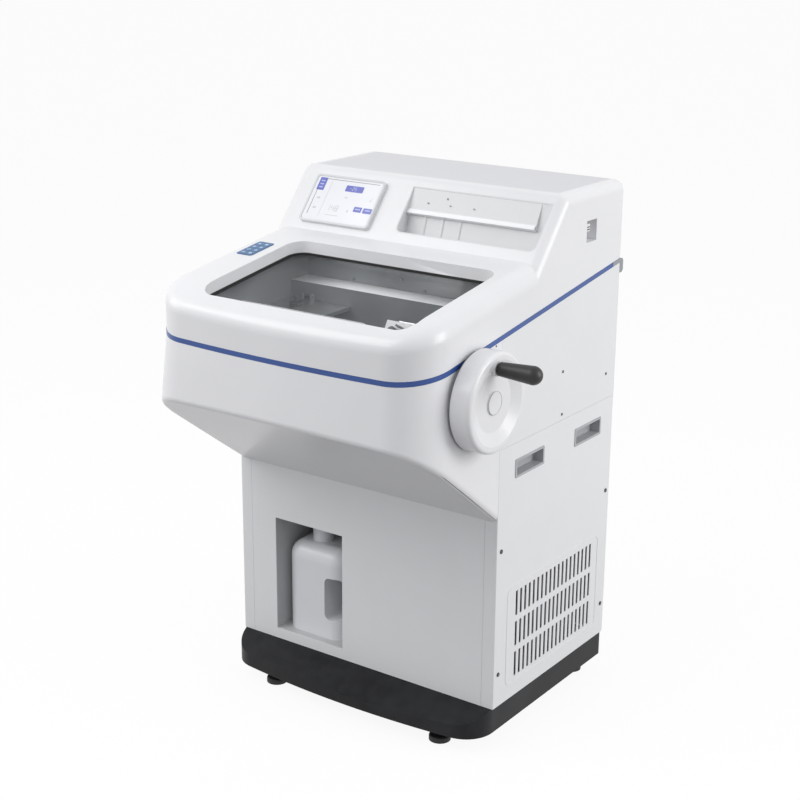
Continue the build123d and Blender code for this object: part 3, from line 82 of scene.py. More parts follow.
def remap(nodes, links, value, low, high, source=(0.0, 1.0)):
    """Stretch a value from the source range to the one from low to high."""
    node = nodes.new("ShaderNodeMapRange")
    node.inputs["From Min"].default_value, node.inputs["From Max"].default_value = source
    node.inputs["To Min"].default_value = low
    node.inputs["To Max"].default_value = high
    links.new(value, node.inputs["Value"])
    return node.outputs["Result"]


def laid_over(nodes, links, factor, under, colour):
    """Cover the colour below with a plain one wherever the factor says."""
    mix = nodes.new("ShaderNodeMix")
    mix.data_type = "RGBA"
    links.new(factor, mix.inputs["Factor"])
    links.new(under, mix.inputs[MIX_A])
    mix.inputs[MIX_B].default_value = (*colour, 1)
    return mix.outputs[MIX_RESULT]


def surface(name, colour, rough, metal=0.0, spread=0.04, scale=60.0, bump=0.05, grain=900.0,
            stretch=(1, 1, 1), coat=0.0, rough_spread=0.08, specular=0.5, patches=None,
            lit_top=None):
    """Material with a mottled colour and roughness, a fine grain and, where
    patches gives their colour, share and scale, soft patches of another tone.
    The last argument gives faces that look up a lighter colour: painted light from above."""
    mat, nodes, links, bsdf = new_material(name)
    bsdf.inputs["Metallic"].default_value = metal
    bsdf.inputs["Coat Weight"].default_value = coat
    bsdf.inputs["Coat Roughness"].default_value = COAT_ROUGHNESS
    bsdf.inputs["Specular IOR Level"].default_value = specular
    coords = nodes.new("ShaderNodeTexCoord")
    mapping = nodes.new("ShaderNodeMapping")
    mapping.inputs["Scale"].default_value = stretch
    links.new(coords.outputs["Object"], mapping.inputs["Vector"])
    cloud = noise(nodes, links, mapping.outputs["Vector"], scale, 4.0)
    tint = nodes.new("ShaderNodeValToRGB")
    darkest, lightest = tint.color_ramp.elements
    darkest.color = (*[max(0.0, c * (1 - spread)) for c in colour], 1)
    lightest.color = (*[min(1.0, c * (1 + spread)) for c in colour], 1)
    darkest.position, lightest.position = 0.3, 0.7
    links.new(cloud, tint.inputs["Fac"])
    colour_out = tint.outputs["Color"]
    if patches:
        patch_colour, share, patch_scale = patches
        blot = noise(nodes, links, coords.outputs["Object"], patch_scale, 6.0)
        mask = remap(nodes, links, blot, 0.0, share, PATCH_RANGE)
        colour_out = laid_over(nodes, links, mask, colour_out, patch_colour)
    # Faces that look up take a lighter colour: painted light from above
    if lit_top:
        parts = nodes.new("ShaderNodeSeparateXYZ")
        links.new(coords.outputs["Normal"], parts.inputs["Vector"])
        lit_share = remap(nodes, links, parts.outputs["Z"], 0.0, 1.0, FACES_UP)
        colour_out = laid_over(nodes, links, lit_share, colour_out, lit_top)
    links.new(colour_out, bsdf.inputs["Base Color"])
    smoothest, roughest = max(0.02, rough - rough_spread), min(1.0, rough + rough_spread)
    links.new(remap(nodes, links, cloud, smoothest, roughest), bsdf.inputs["Roughness"])
    if bump:
        relief = nodes.new("ShaderNodeBump")
        relief.inputs["Strength"].default_value = bump
        relief.inputs["Distance"].default_value = GRAIN_DEPTH
        fine = noise(nodes, links, mapping.outputs["Vector"], grain, 2.0)
        links.new(fine, relief.inputs["Height"])
        links.new(relief.outputs["Normal"], bsdf.inputs["Normal"])
    return mat


def clear_glass(name, tint, alpha):
    """Thin pane: mostly see-through, with a faint haze and a sharp gloss."""
    mat, nodes, links, bsdf = new_material(name)
    bsdf.inputs["Base Color"].default_value = (*tint, 1)
    bsdf.inputs["IOR"].default_value = 1.45
    coords = nodes.new("ShaderNodeTexCoord")
    haze = noise(nodes, links, coords.outputs["Object"], 9.0, 5.0)
    links.new(remap(nodes, links, haze, 0.03, 0.12), bsdf.inputs["Roughness"])
    links.new(remap(nodes, links, haze, alpha * 0.6, alpha * 1.4), bsdf.inputs["Alpha"])
    return mat


def display_ink(name, colour, spread=0.04):
    """Flat mark behind the screen's glossy glass."""
    return surface(name, colour, 0.25, spread=spread, scale=50, bump=0.0, coat=0.6)


M = {
    # Housing
    "moulding": surface("white_moulding", (0.80, 0.80, 0.81), 0.32, spread=0.012, scale=8,
                        bump=0.02, grain=700, coat=0.25),
    "paint": surface("white_paint", (0.78, 0.785, 0.79), 0.38, spread=0.012, scale=10,
                     bump=0.06, grain=1100, coat=0.15),
    "lid": surface("lid_grey", (0.70, 0.70, 0.715), 0.55, spread=0.03, scale=400,
                   bump=0.25, grain=1500),
    "tray": surface("tray_white", (0.72, 0.725, 0.73), 0.42, spread=0.015, scale=20, bump=0.04),
    # A touch lighter than the moulding: painted highlight along the tray lip's edge
    "bar": surface("bar_white_highlit", (0.85, 0.85, 0.86), 0.3, spread=0.01, scale=20,
                   bump=0.02, coat=0.3),
    "stripe": surface("stripe_blue", (0.022, 0.075, 0.29), 0.35, spread=0.05, scale=15,
                      bump=0.03, coat=0.2),
    "tail": surface("tail_grey", (0.30, 0.31, 0.33), 0.5, scale=40, bump=0.08),
    # Its lighter soft patches are painted reflection on the gloss black
    "plinth": surface("plinth_black", (0.016, 0.0165, 0.018), 0.42, spread=0.25, scale=30,
                      bump=0.10, grain=800, specular=0.16,
                      patches=((0.030, 0.031, 0.033), 0.6, 7)),
    # Mid grey: partly the bay's own grey paint, partly painted shade of the recess
    "bay": surface("bay_grey", (0.52, 0.525, 0.53), 0.5, spread=0.03, scale=30, bump=0.08),
    "grip": surface("grip_grey", (0.42, 0.43, 0.44), 0.45, spread=0.03, scale=40, bump=0.1),
    "seam": surface("seam_grey", (0.18, 0.18, 0.19), 0.6, spread=0.1, scale=80, bump=0.1),
    "screw": surface("black_screw", (0.02, 0.02, 0.021), 0.4, metal=0.3, spread=0.2, scale=300,
                     bump=0.2),
    "bottle": surface("bottle_white", (0.74, 0.75, 0.77), 0.34, spread=0.015, scale=12,
                      bump=0.03, coat=0.1),
    "glass": clear_glass("window_glass", (0.50, 0.53, 0.55), 0.07),
    # Black parts
    "black": surface("black_plastic", (0.012, 0.012, 0.013), 0.42, spread=0.3, bump=0.15,
                     grain=1200),
    "rubber": surface("black_rubber", (0.010, 0.010, 0.010), 0.62, spread=0.3, scale=80,
                      bump=0.2),
    "black_paint": surface("black_paint", (0.015, 0.015, 0.017), 0.40, spread=0.3, scale=40,
                           bump=0.08),
    # Controls
    "bezel": surface("bezel_grey", (0.66, 0.67, 0.68), 0.45, spread=0.02, scale=30),
    "screen": surface("screen_white", (0.80, 0.81, 0.84), 0.22, spread=0.012, scale=20,
                      bump=0.0, coat=0.6),
    "violet": display_ink("screen_violet", (0.10, 0.12, 0.50), spread=0.05),
    "pale": display_ink("screen_pale", (0.42, 0.46, 0.72)),
    "faint": display_ink("screen_faint", (0.62, 0.62, 0.61)),
    "line": display_ink("screen_line", (0.33, 0.33, 0.35), spread=0.05),
    "keypad": surface("keypad_blue", (0.035, 0.115, 0.27), 0.38, spread=0.05),
    "key": surface("key_blue", (0.055, 0.17, 0.36), 0.34, spread=0.06, scale=90, coat=0.2),
    "symbol": surface("pale_symbol", (0.52, 0.66, 0.80), 0.45, spread=0.03, scale=80, bump=0.0),
    # Freezing chamber
    "liner": surface("frosted_steel", (0.20, 0.205, 0.21), 0.42, metal=0.2, spread=0.14,
                     scale=9, bump=0.15, grain=300, rough_spread=0.15,
                     patches=((0.44, 0.46, 0.48), 0.5, 5)),
    # Dark sheet: its bluish patches are painted reflection, and its faces that look up take
    # painted light from above, the ledge's light band
    "cover": surface("frosted_sheet_painted_light", (0.15, 0.155, 0.165), 0.40, metal=0.1, spread=0.10,
                     scale=7, bump=0.12, grain=420, patches=((0.34, 0.36, 0.42), 0.6, 6),
                     lit_top=(0.80, 0.81, 0.82)),
    "foam": surface("cut_foam", (0.60, 0.55, 0.36), 0.85, spread=0.1, scale=200, bump=0.6,
                    grain=700),
    # Machine and cooling
    "grey_paint": surface("dark_grey_paint", (0.10, 0.105, 0.11), 0.45, spread=0.1, scale=40,
                          bump=0.08),
    "steel": surface("stainless", (0.50, 0.51, 0.52), 0.32, metal=1.0, spread=0.10, scale=30,
                     bump=0.12, grain=500, stretch=(1, 12, 12), rough_spread=0.12),
    "ground": surface("ground_steel", (0.42, 0.43, 0.44), 0.34, metal=1.0, scale=80, bump=0.04),
    "aluminium": surface("machined_aluminium", (0.62, 0.63, 0.64), 0.35, metal=1.0,
                         spread=0.05, bump=0.1, grain=500, stretch=(1, 1, 10)),
    "bronze": surface("turned_bronze", (0.42, 0.27, 0.11), 0.35, metal=1.0, spread=0.1,
                      scale=80, bump=0.08),
    "copper": surface("copper_tube", (0.55, 0.25, 0.14), 0.32, metal=1.0, spread=0.12,
                      scale=50),
    "fin": surface("fin_aluminium", (0.50, 0.51, 0.52), 0.4, metal=1.0, spread=0.08, scale=90),
}

LOOKS = {
    "moulding": ["top_cover", "canopy", "handwheel"],
    "paint": ["side_panels", "upper_side_panels", "front_panel", "rear_panel",
              "microtome_body", "holder_base", "blade_holder", "pressure_plate",
              "section_guard"],
    "lid": ["hood_lid"],
    "tray": ["tool_tray"],
    "bar": ["tool_tray_bar"],
    "stripe": ["accent_stripe"],
    "tail": ["stripe_end_caps", "drain_pipe"],
    "plinth": ["base_plinth"],
    "bay": ["bottle_bay"],
    "grip": ["panel_grips"],
    "screw": ["panel_screws"],
    "bottle": ["waste_bottle"],
    "glass": ["sliding_window"],
    "black": ["handle_grip", "clamp_knob", "clamp_lever", "bottle_cap", "condenser_fan",
              "window_rails", "fan_shroud"],
    "rubber": ["window_gasket", "drive_belt", "front_left_foot", "front_right_foot",
               "rear_left_foot", "rear_right_foot"],
    "black_paint": ["compressor", "condenser", "heat_extractor"],
    "bezel": ["display_bezel"],
    "screen": ["touch_screen"],
    "keypad": ["keypad"],
    "liner": ["chamber_liner"],
    "cover": ["evaporator_cover"],
    "foam": ["chamber_insulation"],
    "grey_paint": ["chassis_frame", "electronics_box"],
    "steel": ["gear_cover", "orientation_yoke", "specimen_clamp"],
    "ground": ["wheel_shaft", "crankshaft", "specimen_arm", "blade"],
    "aluminium": ["evaporator", "freezing_shelf", "head_carriage", "specimen_disc"],
    "bronze": ["shaft_bearings"],
}
for look, names in LOOKS.items():
    for name in names:
        data = cad[name].data
        data.materials.clear()
        data.materials.append(M[look])
missing = set(cad) - {name for names in LOOKS.values() for name in names}
assert not missing, missing


# Floor and backdrop, lights, camera
FLOOR_HALF = 70.0                       # m, so far that no horizon shows
FLOOR_BOUNCE = (0.26, 0.26, 0.265)      # colour that lights the part from below
FLOOR_GLOW = 0.92                       # share of plain white in the floor that is seen
SKY_COLOUR = (0.96, 0.97, 1.0)
SKY_STRENGTH = 0.66


def highest(nodes, links, first, second):
    node = nodes.new("ShaderNodeMath")
    node.operation = "MAXIMUM"
    links.new(first, node.inputs[0])
    links.new(second, node.inputs[1])
    return node.outputs[0]


def seen_white(nodes, links, plain, white):
    """Mix to the white look wherever the camera, a gloss or a pane sees it."""
    path = nodes.new("ShaderNodeLightPath").outputs
    eye_or_gloss = highest(nodes, links, path["Is Camera Ray"], path["Is Glossy Ray"])
    seen = highest(nodes, links, eye_or_gloss, path["Is Transmission Ray"])
    mix = nodes.new("ShaderNodeMixShader")
    links.new(seen, mix.inputs["Fac"])
    links.new(plain, mix.inputs[1])
    links.new(white, mix.inputs[2])
    return mix.outputs["Shader"]


def backdrop():
    """Pale floor that reads as white but keeps the object's shadow."""
    mesh = bpy.data.meshes.new("floor")
    corners = [(-1, -1), (1, -1), (1, 1), (-1, 1)]
    mesh.from_pydata([(x * FLOOR_HALF, y * FLOOR_HALF, 0) for x, y in corners], [],
                     [(0, 1, 2, 3)])
    floor = bpy.data.objects.new("floor", mesh)
    bpy.context.scene.collection.objects.link(floor)
    mat, nodes, links, bsdf = new_material("floor_white")
    bsdf.inputs["Base Color"].default_value = (*FLOOR_BOUNCE, 1)
    bsdf.inputs["Roughness"].default_value = 0.9
    shade = nodes.new("ShaderNodeBsdfDiffuse")
    shade.inputs["Color"].default_value = (0.95, 0.95, 0.95, 1)
    glow = nodes.new("ShaderNodeEmission")
    glow.inputs["Strength"].default_value = 1.0
    mix = nodes.new("ShaderNodeMixShader")
    mix.inputs["Fac"].default_value = FLOOR_GLOW
    links.new(shade.outputs["BSDF"], mix.inputs[1])
    links.new(glow.outputs["Emission"], mix.inputs[2])
    look = seen_white(nodes, links, bsdf.outputs["BSDF"], mix.outputs["Shader"])
    links.new(look, nodes["Material Output"].inputs["Surface"])
    mesh.materials.append(mat)


def sky():
    """World that lights the part softly and looks white itself."""
    world = bpy.data.worlds.new("studio")
    bpy.context.scene.world = world
    world.use_nodes = True
    nodes, links = world.node_tree.nodes, world.node_tree.links
    nodes.clear()
    out = nodes.new("ShaderNodeOutputWorld")
    dim = nodes.new("ShaderNodeBackground")
    dim.inputs["Color"].default_value = (*SKY_COLOUR, 1)
    dim.inputs["Strength"].default_value = SKY_STRENGTH
    white = nodes.new("ShaderNodeBackground")
    white.inputs["Color"].default_value = (1, 1, 1, 1)
    white.inputs["Strength"].default_value = 1.0
    look = seen_white(nodes, links, dim.outputs["Background"], white.outputs["Background"])
    links.new(look, out.inputs["Surface"])


def lamp(name, place, target, size, power):
    """Area lamp at place that looks at target, in metres and watts."""
    light = bpy.data.lights.new(name, "AREA")
    light.shape = "RECTANGLE"
    light.size, light.size_y = size
    light.energy = power
    obj = bpy.data.objects.new(name, light)
    bpy.context.scene.collection.objects.link(obj)
    obj.location = place
    direction = Vector(target) - Vector(place)
    obj.rotation_euler = direction.to_track_quat("-Z", "Y").to_euler()


# Camera of the photo, fitted to it
PHOTO_WIDTH = 800                               # pixels
FOCAL_LENGTH = 1593.5277                        # pixels
SENSOR_WIDTH = 36.0                             # mm
EYE = (1935.17766, -2824.57242, 1733.07017)     # mm in the cabinet's frame
YAW, PITCH, ROLL = -0.6178704, -0.3041644, 0.0069974


def camera():
    data = bpy.data.cameras.new("photo_camera")
    data.sensor_width = SENSOR_WIDTH
    data.sensor_fit = "HORIZONTAL"
    data.lens = FOCAL_LENGTH / PHOTO_WIDTH * SENSOR_WIDTH
    data.clip_end = 60
    cam = bpy.data.objects.new("photo_camera", data)
    bpy.context.scene.collection.objects.link(cam)
    level = math.cos(PITCH)
    ahead = Vector((math.sin(YAW) * level, math.cos(YAW) * level, math.sin(PITCH)))
    side = Vector((math.cos(YAW), -math.sin(YAW), 0))
    up = side.cross(ahead)
    right = side * math.cos(ROLL) + up * math.sin(ROLL)
    upward = -side * math.sin(ROLL) + up * math.cos(ROLL)
    turn = Matrix((right, upward, -ahead)).transposed().to_4x4()
    cam.matrix_world = Matrix.Translation(at(*EYE)) @ turn
    bpy.context.scene.camera = cam


backdrop()
sky()
lamp("key", (-1.5, -2.2, 3.2), (0, 0, 0.8), (2.6, 2.0), 46)
lamp("right_fill", (3.2, 0.9, 1.8), (0.3, 0.1, 0.7), (1.8, 2.2), 58)
lamp("left_fill", (-3.0, -1.6, 2.0), (0, 0, 0.9), (1.8, 1.6), 20)
lamp("chamber_lamp", at(20, -150, 1000), at(0, -330, 860), (0.36, 0.04), 0.12)
camera()
scene = bpy.context.scene
scene.view_settings.view_transform = "Standard"


# Small pieces
CORNER_STEPS = 5
CREASE = math.radians(35)       # sharper edges than this stay hard


def rounded(width, height, radius):
    """Points of a rounded rectangle round the origin, anticlockwise."""
    points = []
    for i, (sx, sy) in enumerate(((1, 1), (-1, 1), (-1, -1), (1, -1))):
        centre = (sx * (width / 2 - radius), sy * (height / 2 - radius))
        for k in range(CORNER_STEPS + 1):
            angle = math.pi / 2 * (i + k / CORNER_STEPS)
            points.append((centre[0] + radius * math.cos(angle),
                           centre[1] + radius * math.sin(angle)))
    return points


class Sheet:
    """A plane on the object on which flat pieces are laid out in mm."""

    def __init__(self, origin, along, up):
        self.origin = Vector(origin)
        self.along = Vector(along).normalized()
        self.up = Vector(up).normalized()
        self.out = self.along.cross(self.up).normalized()

    def point(self, u, v, w=0.0):
        return self.origin + self.along * u + self.up * v + self.out * w


class Shape:
    """Collects the solids of one piece, in mm in the cabinet's frame."""

    def __init__(self):
        self.bm = bmesh.new()

    def box(self, x, y, z):
        centre = [(low + high) / 2 for low, high in (x, y, z)]
        size = [high - low for low, high in (x, y, z)]
        matrix = Matrix.Translation(centre) @ Matrix.Diagonal((*size, 1))
        bmesh.ops.create_cube(self.bm, size=1, matrix=matrix)

    def rod(self, start, end, radius, segments=32, end_radius=None):
        """Round bar, which tapers where its end has another radius."""
        start, end = Vector(start), Vector(end)
        axis = end - start
        turn = Vector((0, 0, 1)).rotation_difference(axis).to_matrix().to_4x4()
        matrix = Matrix.Translation((start + end) / 2) @ turn
        if end_radius is None:
            end_radius = radius
        bmesh.ops.create_cone(self.bm, cap_ends=True, segments=segments, radius1=radius,
                              radius2=end_radius, depth=axis.length, matrix=matrix)

    def prism(self, points, rise):
        base = [self.bm.verts.new(point) for point in points]
        top = [self.bm.verts.new(Vector(point) + rise) for point in points]
        self.bm.faces.new(list(reversed(base)))
        self.bm.faces.new(top)
        for i in range(len(base)):
            j = (i + 1) % len(base)
            self.bm.faces.new((base[i], base[j], top[j], top[i]))

    def plate(self, sheet, u, v, size, low, high, radius=0.3):
        """Rounded plate round (u, v) that stands from low to high over a sheet."""
        points = [sheet.point(u + a, v + b, low) for a, b in rounded(*size, radius)]
        self.prism(points, sheet.out * (high - low))

    def ring(self, centre, radius, thickness, segments=96, round_steps=8):
        """Torus round an axis along x."""
        turn = Vector((0, 0, 1)).rotation_difference(Vector((1, 0, 0))).to_matrix()
        loops = []
        for i in range(segments):
            angle = 2 * math.pi * i / segments
            outward = Vector((math.cos(angle), math.sin(angle), 0))
            loop = []
            for k in range(round_steps):
                bend = 2 * math.pi * k / round_steps
                lift = Vector((0, 0, thickness * math.sin(bend)))
                offset = outward * (radius + thickness * math.cos(bend)) + lift
                loop.append(self.bm.verts.new(Vector(centre) + turn @ offset))
            loops.append(loop)
        for i, loop in enumerate(loops):
            other = loops[(i + 1) % segments]
            for k in range(round_steps):
                n = (k + 1) % round_steps
                self.bm.faces.new((loop[k], other[k], other[n], loop[n]))

    def place(self, name, look, body="cabinet", bevel=0.0):
        """Turn the collected solids into a piece that rides on a body."""
        bmesh.ops.recalc_face_normals(self.bm, faces=self.bm.faces)
        for vert in self.bm.verts:
            vert.co = at(*vert.co)
        mesh = bpy.data.meshes.new(name)
        self.bm.to_mesh(mesh)
        self.bm.free()
        mesh.polygons.foreach_set("use_smooth", [True] * len(mesh.polygons))
        mesh.set_sharp_from_angle(angle=CREASE)
        mesh.materials.append(M[look])
        obj = bpy.data.objects.new(name, mesh)
        bpy.context.scene.collection.objects.link(obj)
        if bevel:
            soften = obj.modifiers.new("soft_edges", "BEVEL")
            soften.width = bevel / 1000
            soften.segments = 2
        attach(obj, body)


# The top cover's two sloping faces: v runs up the slope, w stands off it
DECK_TILT = math.radians(8.5)
DECK_HEIGHT = 1049.7            # of the deck's plane where y is 0
HOOD_LEAN = math.radians(39.35)
HOOD_FOOT = 1029.0
HOOD_TOP = 1160.0
HOOD_TOP_Y = 0.4
hood_foot_y = HOOD_TOP_Y - math.tan(HOOD_LEAN) * (HOOD_TOP - HOOD_FOOT)
hood = Sheet((0, hood_foot_y, HOOD_FOOT), (1, 0, 0),
             (0, math.sin(HOOD_LEAN), math.cos(HOOD_LEAN)))
deck = Sheet((0, 0, DECK_HEIGHT), (1, 0, 0), (0, math.cos(DECK_TILT), math.sin(DECK_TILT)))


# Touch screen: a plain layout of bars, blocks and figures
SCREEN_FACE = 8.2               # of the screen over the hood's plane
INK = 0.15                      # thickness of a mark
SEGMENTS = {"1": "bc", "2": "abged", "4": "fgbc", "5": "afgcd", "8": "abcdefg", "-": "g"}


def figures(shape, sheet, text, u, v, height, low):
    """Seven-segment figures that start at u, with v at half their height."""
    width, bar, step_width = height * 0.5, height * 0.14, height * 0.85
    places = {"a": (0, height / 2), "g": (0, 0), "d": (0, -height / 2),
              "f": (-width / 2, height / 4), "b": (width / 2, height / 4),
              "e": (-width / 2, -height / 4), "c": (width / 2, -height / 4)}
    for step, symbol in enumerate(text):
        for name in SEGMENTS[symbol]:
            du, dv = places[name]
            size = (width, bar) if name in "agd" else (bar, height / 2)
            shape.plate(sheet, u + step * step_width + du, v + dv, size, low, low + INK,
                        bar * 0.3)


def touch_screen():
    low, high = SCREEN_FACE, SCREEN_FACE + INK
    rules = Shape()
    rules.plate(hood, -180.5, 133.4, (144, 1.7), low, high)         # over the whole page
    rules.plate(hood, -269.0, 75.0, (1.8, 66), low, high)           # beside the menu
    rules.plate(hood, -164.8, 60.0, (1.6, 6), low, high)            # after the count
    rules.place("screen_rules", "line")

    menu_u, value_v = -262.5, 115.5
    key_places = ((-139.5, 67.0, 21.5), (-113.0, 66.5, 23.5))       # u, v, width
    blocks = Shape()
    blocks.plate(hood, menu_u, 119.5, (20, 32), low, high, 1.5)
    blocks.plate(hood, -170.0, value_v, (48, 15.5), low, high, 1.5)
    for u, v, width in key_places:
        blocks.plate(hood, u, v, (width, 13), low, high, 1.5)
    blocks.place("screen_blocks", "violet")

    marks = Shape()
    figures(marks, hood, "-25", -180.5, value_v, 8, high)
    for row in range(3):
        marks.plate(hood, menu_u, 127 - 8 * row, (10, 3), high, high + INK)
    for u, v, width in key_places:
        marks.plate(hood, u, 67.5, (13, 3.2), high, high + INK)
    marks.place("screen_block_marks", "pale")

    faint = Shape()
    faint.plate(hood, -237.0, 84.0, (1.2, 92), low, high)           # right of the menu
    figures(faint, hood, "148", -218.0, 63.0, 13, low)
    faint.plate(hood, -202.0, 45.0, (36, 1.6), low, high)           # below the count
    faint.plate(hood, -183.0, 92.5, (7, 4), low, high)
    for v in (84, 59):
        faint.plate(hood, -256.0, v, (9, 5), low, high)             # menu's other entries
    faint.plate(hood, -117.0, 92.0, (5, 1.4), low, high)
    stroke = ((-116, 88), (-114.6, 88), (-111, 100), (-112.4, 100))
    faint.prism([hood.point(u, v, low) for u, v in stroke], hood.out * INK)
    faint.place("screen_faint_marks", "faint")


# Membrane keypad: two columns of keys with plain signs
KEYPAD_FACE = 1.2               # over the deck's plane
KEY_HEIGHT = 0.35
KEY_SIZE = (15.5, 14.5)
KEY_COLUMNS = (-288.5, -269.5)
KEY_ROWS = (-283.0, -264.5, -246.0, -227.5)     # from the front to the back


def keypad():
    keys = Shape()
    low = KEYPAD_FACE + KEY_HEIGHT
    for u in KEY_COLUMNS:
        for v in KEY_ROWS:
            keys.plate(deck, u, v, KEY_SIZE, KEYPAD_FACE, low, 3)
    keys.place("keypad_keys", "key", bevel=0.12)

    signs = Shape()

    def drawn(u, v, corners):
        signs.prism([deck.point(u + a, v + b, low) for a, b in corners], deck.out * INK)

    def bar(u, v, size, height=INK, radius=0.9):
        signs.plate(deck, u, v, size, low, low + height, radius)

    arrow = ((-4, -2.5), (4, -2.5), (0, 4))
    square = [(a * 3.2, b * 3.2) for a, b in ((-1, -1), (1, -1), (1, 1), (-1, 1))]
    left, right = KEY_COLUMNS
    front, second, third, back = KEY_ROWS
    drawn(left, back, arrow)
    drawn(left, third, [(-a, -b) for a, b in arrow])
    drawn(right, back, square)
    drawn(right, third, [(b, -a) for a, b in arrow])
    petals, petal_radius = 6, 3.4
    for turn in range(petals):
        angle = 2 * math.pi / petals * turn
        bar(left + petal_radius * math.cos(angle), second + petal_radius * math.sin(angle),
            (2, 2))
    bar(right, second, (8, 2))
    bar(right, second, (2, 8), height=INK * 1.5)
    bar(left, front, (9, 2.4))
    bar(right, front, (7, 7), radius=3.2)
    signs.place("keypad_signs", "symbol")


# Tool tray: pegs above the lip and the catch over them
PEG_COLUMNS = (20.0, 77.0, 137.0)       # u on the hood
PEG_ROW = 113.5                         # v on the hood
PEG_REACH = (-9.0, -4.5)                # w of a peg's root and tip
CATCH_PLACE = (66.0, 127.6)
CATCH_REACH = (-6.0, -2.6)


def tray_pegs():
    pegs, catch = Shape(), Shape()
    for u in PEG_COLUMNS:
        root, tip = [hood.point(u, PEG_ROW, w) for w in PEG_REACH]
        pegs.rod(root, tip, 2.0, 24, 1.6)
    pegs.place("tray_pegs", "grip")
    root, tip = [hood.point(*CATCH_PLACE, w) for w in CATCH_REACH]
    catch.rod(root, tip, 1.7, 24)
    catch.place("tray_catch", "seam")


# Recess on the hood's right side, with its data socket; its grey and black sheets are painted
# shade
PORT_BACK = 322.0               # x of the recess's back wall
PORT_REAR = 126.5               # y of its rear wall
SOCKET_FACE = 336.0             # x of the socket's face
SOCKET_REAR = 112.0             # y where socket and bar end
SLOT_HEIGHTS = (1072.2, 1077.4)
SLOT_HALF = 1.2
MARK = 0.2                      # thickness of the painted shade in a slot


def port():
    recess_shade, slot_shade, bar = Shape(), Shape(), Shape()
    # Grey sheet on the recess's back wall: painted shade of the recess
    recess_shade.box((PORT_BACK, PORT_BACK + 0.5), (104, PORT_REAR), (1050, 1093))
    recess_shade.place("port_shade", "grip")
    # Black sheets: painted shade in the slot under the bar and in the socket's two slots
    slot_shade.box((PORT_BACK, PORT_BACK + 0.9), (85.5, PORT_REAR), (1048.6, 1058.5))
    for z in SLOT_HEIGHTS:
        slot_shade.box((SOCKET_FACE, SOCKET_FACE + MARK), (100, SOCKET_REAR),
                  (z - SLOT_HALF, z + SLOT_HALF))
    slot_shade.place("port_slot_shade", "black")
    bar.box((PORT_BACK, PORT_BACK + 9), (86, SOCKET_REAR), (1059.5, 1066))
    bar.place("port_bar", "moulding", bevel=1.5)


# Screws
PANEL_FACE = 345.8              # x of the side panels' outer faces
PANEL_SCREWS = [(side, y, z) for side in (-1, 1) for y in (-223.0, 223.0)
                for z in (171.0, 452.0)]
SMALL_SCREWS = [(side, y, z) for side in (-1, 1)
                for y, z in ((6.0, 785.0), (199.0, 735.0), (8.0, 690.0))]
CANOPY_SCREW = (-262.7, 900)    # y, z
CANOPY_HEAD = (343.6, 345.2)    # x of its root and crown
CHAMBER_SCREWS = ((-127, 938), (62, 938), (2, 956), (190, 956))     # x, z
HEXAGON = 6


def screw_marks():
    """Sockets and washers of the screws in the side panels and the canopy's screws."""
    sockets, washers, canopy_screws = Shape(), Shape(), Shape()
    head = PANEL_FACE + 0.5
    for side, y, z in PANEL_SCREWS:
        sockets.rod((side * head, y, z), (side * (head + 0.35), y, z), 2.2, HEXAGON)
        washers.ring((side * (PANEL_FACE - 0.3), y, z), 4.4, 0.45, segments=32)
    for side, y, z in SMALL_SCREWS:
        sockets.rod((side * PANEL_FACE, y, z), (side * (PANEL_FACE + 0.25), y, z), 1.4, HEXAGON)
    for side in (-1, 1):
        root, crown = [(side * x, *CANOPY_SCREW) for x in CANOPY_HEAD]
        canopy_screws.rod(root, crown, 2.6, 24, 2.2)
    sockets.place("screw_sockets", "seam")
    washers.place("screw_washers", "screw")
    canopy_screws.place("canopy_side_screws", "screw")


def chamber_screws():
    """Screws in the chamber's rear wall, just above the ledge."""
    wall, rim, crown = -99.5, -102.2, -103.4        # y
    heads = Shape()
    for x, z in CHAMBER_SCREWS:
        heads.rod((x, wall, z), (x, rim, z), 3.4, HEXAGON)
        heads.rod((x, rim, z), (x, crown, z), 2.4, 24, 1.6)
    heads.place("chamber_screws", "seam")


# Rear: pins of the power inlet
INLET_CENTRE = (-230, 145)      # x, z
PIN_OFFSETS = ((-7.0, -1.5), (7.0, -1.5), (0.0, 3.5))
PIN_HALF_WIDTH = 1.0
PIN_HALF_HEIGHT = 2.0
PIN_REACH = (223.5, 238.0)      # y


def inlet_pins():
    pins = Shape()
    for dx, dz in PIN_OFFSETS:
        x, z = INLET_CENTRE[0] + dx, INLET_CENTRE[1] + dz
        pins.box((x - PIN_HALF_WIDTH, x + PIN_HALF_WIDTH), PIN_REACH,
                 (z - PIN_HALF_HEIGHT, z + PIN_HALF_HEIGHT))
    pins.place("inlet_pins", "ground", bevel=0.3)


# Cooling: thin fins in the condenser's grooves, and its tubes
FRAME_WALL = 10.0               # round the grooves, along y and z
FIN_PITCH = 16.0 / 6            # six fins for each groove and rib of 16 mm
FIN_THICKNESS = 0.4
FIN_GAP = 0.2                   # between the fins and the frame
TUBE_PITCH = 32
TUBE_DEPTH = 18                 # from the condenser's inner face to a tube's axis
TUBE_INSET = 4


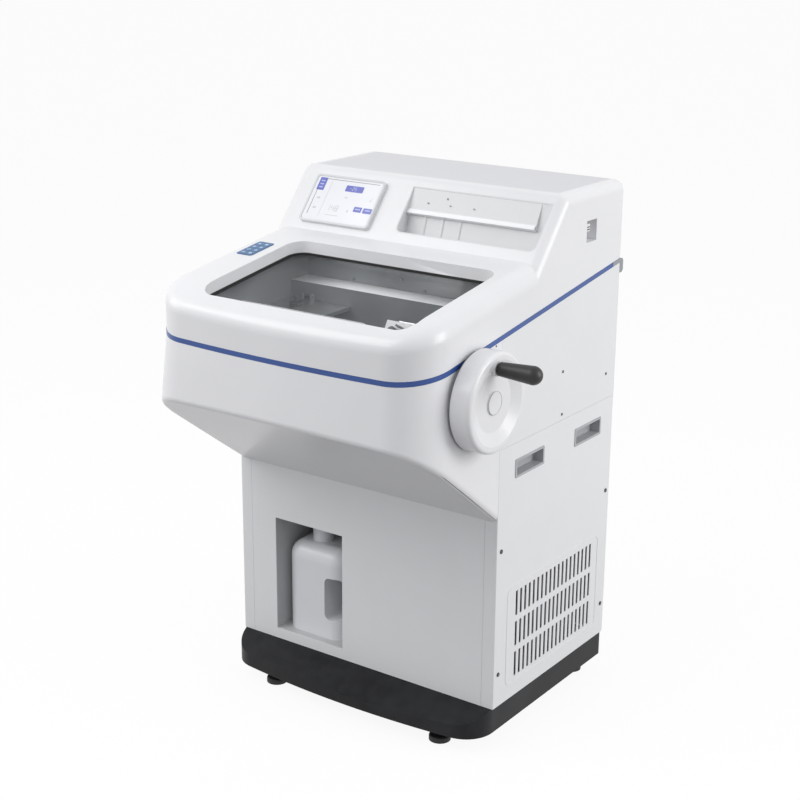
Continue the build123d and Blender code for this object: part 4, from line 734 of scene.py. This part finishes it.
def condenser_details():
    low, high = [corner - SHIFT for corner in packed_box("condenser")]
    first, last = low.y + FRAME_WALL, high.y - FRAME_WALL
    fin_height = (low.z + FRAME_WALL + FIN_GAP, high.z - FRAME_WALL - FIN_GAP)
    sheets = Shape()
    for step in range(math.ceil((last - first) / FIN_PITCH)):
        y = first + step * FIN_PITCH
        sheets.box((low.x + 7, high.x - 0.5), (y, y + FIN_THICKNESS), fin_height)
    sheets.place("condenser_fins", "fin")
    tubes = Shape()
    for z in range(int(low.z) + 28, int(high.z) - 20, TUBE_PITCH):
        x = low.x + TUBE_DEPTH
        tubes.rod((x, low.y + TUBE_INSET, z), (x, high.y - TUBE_INSET, z), 4.0, 16)
    tubes.place("condenser_tubes", "copper")


# Ribs round the bottle's cap; on the handwheel a ring of painted shadow in the gap behind it
# and a ring round its cap
CAP_AXIS = (-172, -158)         # x, y
CAP_RADIUS = 28
CAP_RIBS = 48
CAP_RIB_HEIGHT = (369.5, 385.5) # z
WHEEL_AXLE = (-340, 812)        # y, z
WHEEL_BACK = 353.6              # x of the ring of painted shadow behind the wheel
WHEEL_CAP_FACE = 394.1          # x of the ring round the wheel's cap


def turned_details():
    ribs = Shape()
    for step in range(CAP_RIBS):
        angle = 2 * math.pi * step / CAP_RIBS
        x = CAP_AXIS[0] + CAP_RADIUS * math.cos(angle)
        y = CAP_AXIS[1] + CAP_RADIUS * math.sin(angle)
        foot, head = [(x, y, z) for z in CAP_RIB_HEIGHT]
        ribs.rod(foot, head, 0.8, 8)
    ribs.place("bottle_cap_ribs", "black", body="bottle_cap")
    # Dark ring at the wheel's back edge: painted shadow in the gap between wheel and cabinet
    gap_shadow = Shape()
    gap_shadow.ring((WHEEL_BACK, *WHEEL_AXLE), 99.2, 0.9, segments=128)
    gap_shadow.place("wheel_gap_shadow", "seam", body="handwheel")
    cap_ring = Shape()
    cap_ring.ring((WHEEL_CAP_FACE, *WHEEL_AXLE), 23.2, 0.5)
    cap_ring.place("wheel_cap_ring", "grip", body="handwheel")


touch_screen()
keypad()
tray_pegs()
port()
screw_marks()
chamber_screws()
inlet_pins()
condenser_details()
turned_details()
